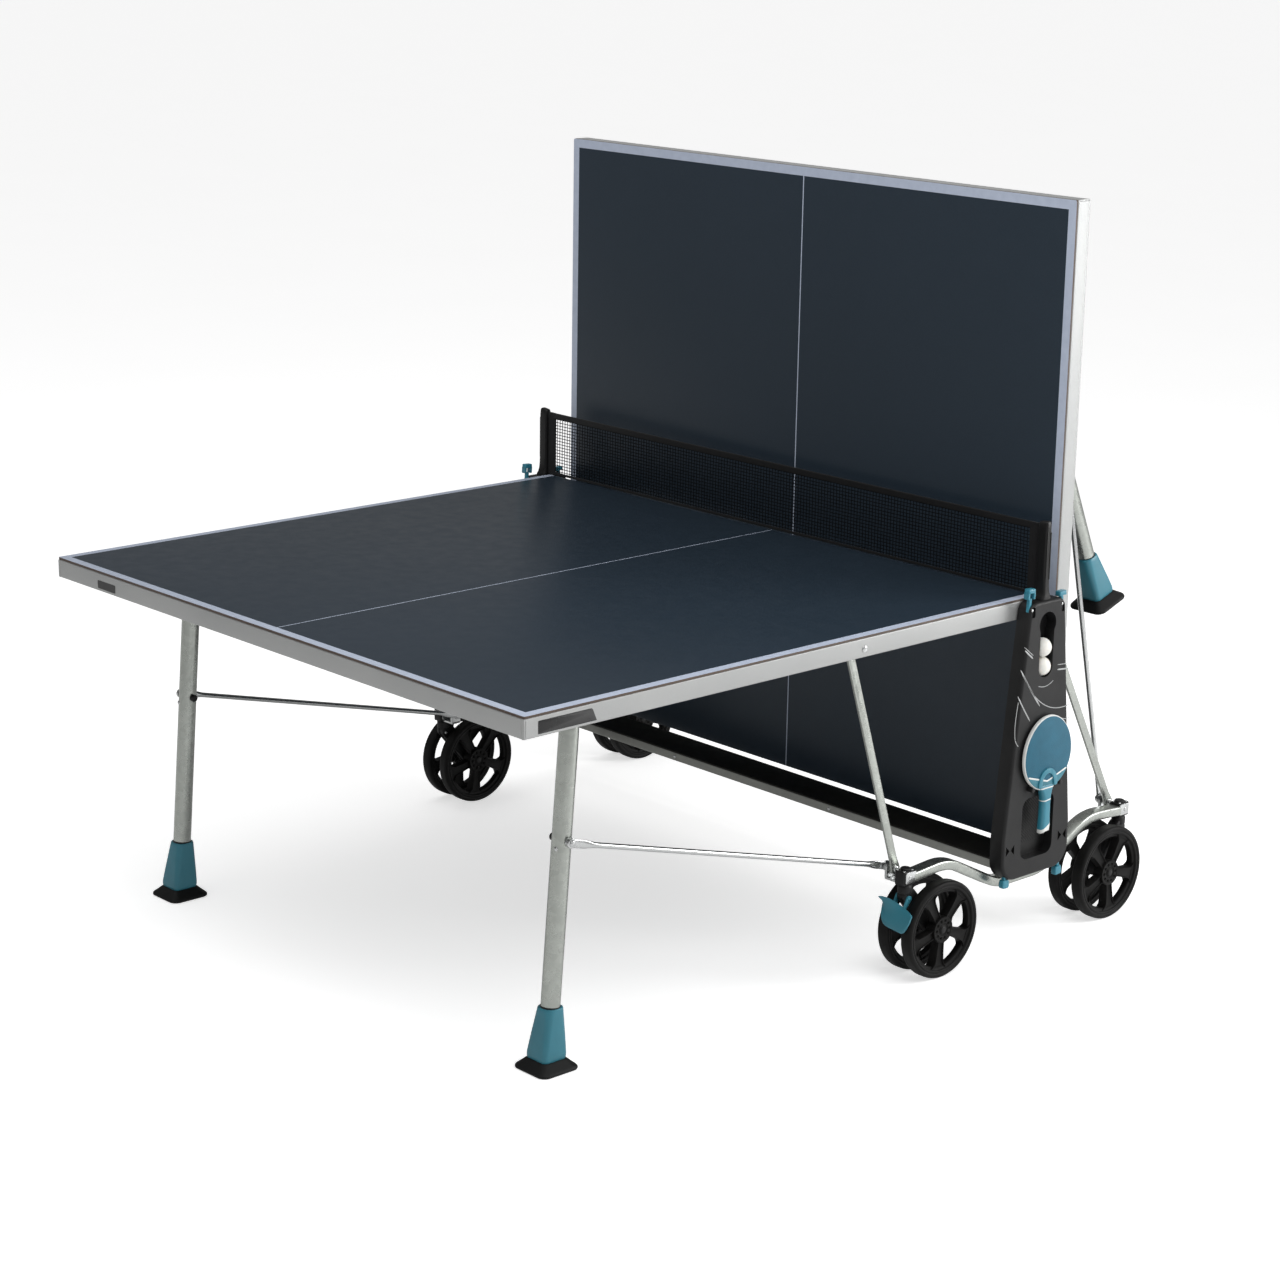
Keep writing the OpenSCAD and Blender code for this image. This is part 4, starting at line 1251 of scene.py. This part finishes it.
def hub_form(form):
    """Hub: a turned disc on each face whose height dips in a ring of ten round pockets and
    rises to a domed cap, drawn on a grid of rings and angles."""
    n, m = 144, 34
    rho = np.concatenate([np.linspace(1.0, 26.5, m - 4), [27.4, 28.0, 28.0, 28.0]])
    t = np.arange(n) * 2 * math.pi / n
    R, T = np.meshgrid(rho, t, indexing="ij")
    near = (T + math.pi / 10) % (math.pi / 5) - math.pi / 10
    hole = np.hypot(R * np.cos(near) - 19.0, R * np.sin(near))
    x = np.full_like(R, 11.0)
    x -= 3.2 * np.clip((3.5 - hole) / 1.3, 0, 1)
    x += 1.1 * np.clip((R - 23.6) / 1.0, 0, 1) - 1.6 * np.clip((14.6 - R) / 1.2, 0, 1)
    cap = np.clip(1 - (R / 9.2) ** 2, 0, 1)
    x += 3.6 * np.sqrt(cap)
    x[-3], x[-2], x[-1] = 9.0, 4.0, 0.0
    face = np.stack([x, R * np.cos(T), R * np.sin(T)], 2)
    back = face[::-1] * [-1, 1, 1]
    return solid(form, np.concatenate([face, back[1:]], 0))


def wheel_form():
    """One wheel about its axle: tyre ring, five curved spokes and the hub."""
    form = Form()
    wheel_ring_form(form)
    for i in range(5):
        spoke_form(form, i * 2 * math.pi / 5 + SPOKE_TURN)
    hub = Form()
    hub_form(hub)
    form.join(hub)
    return form


def brake_form():
    """Brake pedal: a shield bent round both tyres. At each station across it the section is an
    arc band whose ends follow the shield's outline, and whose upper end flares outwards by a
    square law towards the pointed foot tab. Two ears join it to the fork's pin."""
    form = Form()
    cy, cz = CAST_Y - TRAIL, WHEEL_R
    s = np.array([0, 0.02, 0.05, 0.1, 0.17, 0.25, 0.35, 0.5, 0.65, 0.8, 0.88, 0.94, 0.98, 1.0])
    low = np.array([30, 26, 20, 14, 10.5, 9, 8.2, 7.6, 7, 6.4, 8.4, 13, 18, 22])
    high = np.array([34.5, 35.2, 35.8, 36.4, 36.8, 37, 36.8, 36, 34.6, 32.6, 31.2, 30, 28.8, 27.8])
    tab = 21.0 * np.clip(1 - s / 0.62, 0, 1) ** 0.9 + 2.5 * (1 - s)
    k = np.linspace(0, 1, 13)
    angle = np.radians(low[:, None] + (high - low)[:, None] * k)
    flare = tab[:, None] * np.clip((k - 0.45) / 0.55, 0, 1) ** 2
    thick = np.interp(k, [0, 0.06, 0.9, 1], [1.6, 3.9, 3.9, 2.2])
    inner = WHEEL_R + 2.6 + flare
    outer = inner + thick
    band = np.concatenate([inner, outer[:, ::-1]], 1)
    turn_at = np.concatenate([angle, angle[:, ::-1]], 1)
    x = CAST_X - 41 + 82 * s
    rings = np.stack([np.broadcast_to(x[:, None], band.shape), cy + band * np.cos(turn_at),
                      cz + band * np.sin(turn_at)], 2)
    solid(form, rings)
    ears = Form()
    for x in (CAST_X - 17, CAST_X + 12.6):
        c = [(CAST_Y + 3, 180, 7), (cy + (WHEEL_R + 4) * math.cos(math.radians(28)),
                                   cz + (WHEEL_R + 4) * math.sin(math.radians(28)), 2)]
        plate_x(ears, around(c, 48), x, x + 4.4, 0.8)
        dome_x(ears, x + 4.2, x + 6.0, CAST_Y + 3, 180, 3.4)
    form.join(ears)
    return form


wheel = wheel_form()
for front in (True, False):
    for right in (True, False):
        who = say(front, right)
        fit(build("caster_fork_" + who, fork_form(), [BLACK, BRIGHT], "chassis", front, right),
            "caster_" + who, "black_plastic", "caster_" + who)
        for out in (True, False):
            at = Form().join(wheel)
            shift = [CAST_X + (PAIR if out else -PAIR), CAST_Y - TRAIL, WHEEL_R]
            at.points = [p + shift for p in wheel.points]
            name = who + ("_out" if out else "_in")
            fit(build("wheel_tyre_" + name, at, [TYRE], "chassis", front, right),
                "wheel_" + name, "wheel_black", "wheel_" + name)
for front, right in ((True, True), (False, False)):
    who = say(front, right)
    fit(build("brake_pedal_" + who, brake_form(), [TEAL], "chassis", front, right),
        "brake_" + who, "teal_plastic", "brake_" + who)


# ---------------------------------------------------------------- latches, bats and balls
def along_latch(p, up):
    """Local (x, across, along) points carried onto the slanting latch line."""
    p = np.array(p, float)
    base = LATCH_LOW + LATCH_DIR * up
    yz = base + p[..., 1:2] * LATCH_SIDE + p[..., 2:3] * LATCH_DIR
    return np.concatenate([p[..., :1] + 790, yz], -1)


def latch_form(up, grip):
    """Release bar in its channel with a forked hook on top and a tapered pull tab below: each
    block is a stack of rounded-box sections (height, depth, width, shift across)."""
    form = Form()

    def block(rows):
        """One stack of sections, put on the latch line."""
        rings = []
        for z, a, b, cy in rows:
            o = rounded_box(a, b, min(a, b) * 0.22, 5)
            rings.append(np.column_stack([o[:, 0], o[:, 1] + cy, np.full(len(o), z)]))
        solid(form, along_latch(np.array(rings), up))

    top = LATCH_LEN + grip
    block([(-10, 7.4, 7.8, 0), (-9.4, 8, 8.4, 0), (LATCH_LEN, 8, 8.4, 0),
           (LATCH_LEN + 2, 7.6, 8.0, 0)])
    block([(top - 8.5, 13, 21, 0), (top - 8, 14, 22, 0), (top - 1.2, 14, 22, 0),
           (top - 0.3, 13.4, 21.2, 0), (top, 12, 19.6, 0)])
    for s in (-1, 1):
        foot = LATCH_LEN + 0.4
        block([(foot, 11.4, 4.2, s * 8.6), (foot + 0.8, 13.4, 5.2, s * 8.4),
               (top - 8.4, 13.6, 5.2, s * 8.4), (top - 7, 13.6, 5.2, s * 8.4)])
    block([(-24, 9, 13, -2.2), (-23, 12.6, 18, -1.8), (-19, 14, 21, -1.2),
           (-9.5, 13.2, 20, -1.0), (-6, 11.5, 17.5, -0.6)])
    return form


BAT_Y = 10.0  # middle line of the bat
VEE_LOW, VEE_RISE = 371.0, 0.30  # lowest point and slope of the V over the throat


def bat_forms():
    """Blade: an upright egg outline with a rounded white edge; full rubber sheets just inside
    it; a teal throat that lies on them below a shallow V, under a white chevron along the V; a
    handle of oval sections with a white ring and a slanting white end; and a grip arch over
    the throat."""
    t = np.arange(160) * 2 * math.pi / 160
    y = 10 + 74.6 * np.cos(t) * (1 - 0.05 * np.sin(t) - 0.05 * np.clip(-np.sin(t), 0, 1) ** 3)
    z = 432 + 80.6 * np.sin(t)
    line = np.stack([y, np.maximum(z, 352.5)], 1)
    blade = Form()
    rows = [(2.2, 804.3), (0.7, 804.9), (0, 806.2), (0, 810.8), (0.7, 812.1), (2.2, 812.7)]
    solid(blade, np.array([np.column_stack([np.full(len(line), x), inset(line, d)])
                           for d, x in rows]))

    rubber, throat = Form(), Form()
    egg = inset(even(line, 120), 2.4)
    low = egg[egg[:, 1] < VEE_LOW + VEE_RISE * np.abs(egg[:, 0] - BAT_Y)]
    across = np.linspace(low[-1, 0], low[0, 0], 41)
    vee = np.column_stack([across, VEE_LOW + VEE_RISE * np.abs(across - BAT_Y)])
    neck = even(np.vstack([low, vee[1:-1]]), 120)
    for x0, x1, s in ((812.2, 813.4, 1), (804.9, 803.6, -1)):
        plate_x(rubber, egg, min(x0, x1), max(x0, x1), 0.3)
        plate_x(throat, neck, *sorted((x0, x1 + 0.5 * s)), 0.2)
        band = Form()
        plate_x(band, ribbon(vee, 3.4), *sorted((x0, x1 + 0.8 * s)), 0.1)
        throat.join(band, 1)
    grip = Form()
    rows = [(262.0, 15, 24), (262.8, 17, 26.4), (266, 19.0, 27.6), (274, 19.8, 27.6),
            (292, 19.2, 25.6), (320, 18.8, 24.8), (338, 18.8, 27), (350, 17.0, 34),
            (358, 13.5, 42), (362, 10.0, 44)]
    rings = []
    for h, a, b in rows:
        o = rounded_box(a, b, min(a, b) * 0.42, 6)
        slant = (0.55 if 265 < h < 275 else 0.0) * o[:, 1]
        rings.append(np.column_stack([o[:, 0] + 809.2, o[:, 1] + 10, h + slant]))
    solid(grip, np.array(rings))
    start = grip.finish[0].reshape(len(rows) - 1, -1)
    start[:3] = 1
    grip.finish[1][:] = 1
    grip.finish[2][:] = 1
    for h, tilt in ((331, 0.12), (357, 0.0)):
        ring = Form()
        wide = np.interp(h, [331, 357], [26.6, 42.6])
        deep = np.interp(h, [331, 357], [19.8, 14.8])
        o = rounded_box(deep, wide, min(deep, wide) * 0.42, 6)
        solid(ring, np.array([np.column_stack([o[:, 0] * k + 809.2, o[:, 1] * k + 10,
                                               h + dz + tilt * o[:, 1]]) for dz, k in
                              ((-1.3, 0.97), (-0.8, 1.0), (0.8, 1.0), (1.3, 0.97))]))
        grip.join(ring, 1)
    collar = Form()
    u = np.linspace(-1, 1, 41)
    arch = np.column_stack([10 + 24 * np.sin(u * 1.75), 364 + 30 * np.cos(u * 1.75)])
    for x0, x1 in ((801.2, 805.2), (812.0, 817.0)):
        plate_x(collar, ribbon(arch, 11.0), x0, x1, 1.1)
    return blade, rubber, throat, grip, collar


def ball_form():
    """Two balls one above the other: spheres on a grid of rings, with a faint seam band."""
    form = Form()
    for z in (615.6, 655.8):
        a = np.linspace(-math.pi / 2 + 0.03, math.pi / 2 - 0.03, 33)
        r = 20.0 - 0.02 * np.exp(-(a / 0.03) ** 2)
        lathe(form, np.stack([r * np.cos(a), r * np.sin(a)], 1), (788.6, 0, z), 0, 64)
    return form


# how far the latch stands up in its channel, and the height of its top grip (mm)
FRONT_LATCH, REAR_LATCH = (5, 22), (-2, 10)
for front in (True, False):
    for right in (True, False):
        who = say(front, right)
        bar = latch_form(*(FRONT_LATCH if front else REAR_LATCH))
        fit(build("latch_bar_" + who, bar, [TEAL_BRIGHT], "chassis", front, right),
            "latch_" + who, "teal_plastic", "latch_" + who)
for right in (True, False):
    side = "right" if right else "left"
    blade, rubber, throat, grip, collar = bat_forms()
    fit(build("bat_blade_" + side, blade, [WHITE_TRIM], "chassis", False, right),
        "bat_" + side, "bat_face", "bat_" + side)
    fit(build("bat_rubber_" + side, rubber, [RUBBER_FACE], "chassis", False, right),
        "bat_" + side, "bat_face")
    fit(build("bat_throat_" + side, throat, [TEAL, WHITE_TRIM], "chassis", False, right),
        "bat_" + side, "teal_plastic")
    fit(build("bat_grip_" + side, grip, [TEAL_BRIGHT, WHITE_TRIM], "chassis", False, right),
        "bat_" + side, "teal_plastic")
    fit(build("bat_collar_" + side, collar, [TEAL_BRIGHT], "chassis", False, right),
        "bat_" + side, "teal_plastic")
    fit(build("ball_pair_" + side, ball_form(), [BALL], "chassis", False, right),
        "balls_" + side, "ball_white", "balls_" + side)


# ---------------------------------------------------------------- floor, light and camera
def studio_floor():
    """Wide plain floor just under the object, almost white and quite matt."""
    reach, below = 60.0, -0.0004
    mesh = bpy.data.meshes.new("studio_floor")
    mesh.from_pydata([(-reach, -reach, below), (reach, -reach, below), (reach, reach, below),
                      (-reach, reach, below)], [], [(0, 1, 2, 3)])
    f = Finish("floor_paper", (0.90, 0.90, 0.90), 0.6, Specular_IOR_Level=0.2,
               Emission_Color=(1, 1, 1, 1))
    f.cloudy((0.90, 0.90, 0.90), 0.01, 1.5)
    seen = f.node("ShaderNodeLightPath").outputs["Is Camera Ray"]
    f.link(f.sum("MULTIPLY_ADD", seen, 0.45, 0.15), f.shader.inputs["Emission Strength"])
    mesh.materials.append(f.m)
    obj = bpy.data.objects.new("studio_floor", mesh)
    scene.collection.objects.link(obj)


def area_light(name, at, target, size, power, colour=(1, 1, 1)):
    """Oblong soft light at a point, turned to face its target."""
    light = bpy.data.lights.new(name, "AREA")
    light.shape, light.size, light.size_y = "RECTANGLE", size[0], size[1]
    light.energy, light.color = power, colour
    obj = bpy.data.objects.new(name, light)
    obj.location = at
    obj.rotation_mode = "QUATERNION"
    obj.rotation_quaternion = (Vector(target) - Vector(at)).to_track_quat("-Z", "Y")
    scene.collection.objects.link(obj)


studio_floor()
world = bpy.data.worlds.new("studio")
world.use_nodes = True
tree = world.node_tree
back = tree.nodes["Background"]
back.inputs["Color"].default_value = (1.0, 1.0, 1.0, 1)
back.inputs["Strength"].default_value = 0.42
# the room's brightness changes gently from side to side, so metal shows soft streaks
compass = tree.nodes.new("ShaderNodeTexCoord")
turned = tree.nodes.new("ShaderNodeSeparateXYZ")
shades = tree.nodes.new("ShaderNodeValToRGB")
stops = ((0.0, 0.50), (0.30, 0.62), (0.52, 1.30), (0.66, 1.0), (0.80, 0.55), (0.93, 1.5),
         (1.0, 1.2))
shades.color_ramp.elements.remove(shades.color_ramp.elements[1])
for i, (at, grey) in enumerate(stops):
    e = shades.color_ramp.elements[0] if i == 0 else shades.color_ramp.elements.new(at)
    e.position, e.color = at, (grey, grey, grey, 1)
half_way = tree.nodes.new("ShaderNodeMath")
half_way.operation = "MULTIPLY_ADD"
half_way.inputs[1].default_value = half_way.inputs[2].default_value = 0.5
tree.links.new(compass.outputs["Generated"], turned.inputs[0])
tree.links.new(turned.outputs["X"], half_way.inputs[0])
tree.links.new(half_way.outputs[0], shades.inputs["Fac"])
tree.links.new(shades.outputs["Color"], back.inputs["Color"])
backdrop = tree.nodes.new("ShaderNodeBackground")
backdrop.inputs["Color"].default_value = (1.0, 1.0, 1.0, 1)
backdrop.inputs["Strength"].default_value = 1.05
path = tree.nodes.new("ShaderNodeLightPath")
choose = tree.nodes.new("ShaderNodeMixShader")
tree.links.new(path.outputs["Is Camera Ray"], choose.inputs[0])
tree.links.new(back.outputs[0], choose.inputs[1])
tree.links.new(backdrop.outputs[0], choose.inputs[2])
tree.links.new(choose.outputs[0], tree.nodes["World Output"].inputs["Surface"])
scene.world = world
area_light("key", (2.6, -0.8, 4.4), (0.2, 0, 0.4), (3.0, 3.0), 75)
area_light("rear_side", (3.0, 2.9, 1.7), (0.7, 0.6, 0.9), (1.6, 2.2), 90)
area_light("overhead", (-1.0, -0.8, 5.2), (0, 0, 0.5), (5.0, 5.0), 70)
scene.view_settings.view_transform = "Standard"
scene.view_settings.look = "None"

yaw, pitch, roll = (math.radians(a) for a in (47.29, -15.15, -0.97))
lens = bpy.data.cameras.new("camera")
lens.sensor_width = 36.0
lens.lens = 81.86625
lens.shift_x, lens.shift_y = -0.0025, 0.00046875
lens.clip_end = 200.0
camera = bpy.data.objects.new("camera", lens)
turn = (Matrix.Rotation(yaw, 3, "Z") @ Matrix.Rotation(pitch, 3, "X")
        @ Matrix.Rotation(roll, 3, "Y"))
right_v, ahead, up_v = turn.col[0], turn.col[1], turn.col[2]
axes = Matrix((right_v, up_v, -ahead)).transposed()
camera.matrix_world = Matrix.Translation((4.4728, -4.5156 + NET_PLANE, 2.2173)) @ axes.to_4x4()
scene.collection.objects.link(camera)
scene.camera = camera
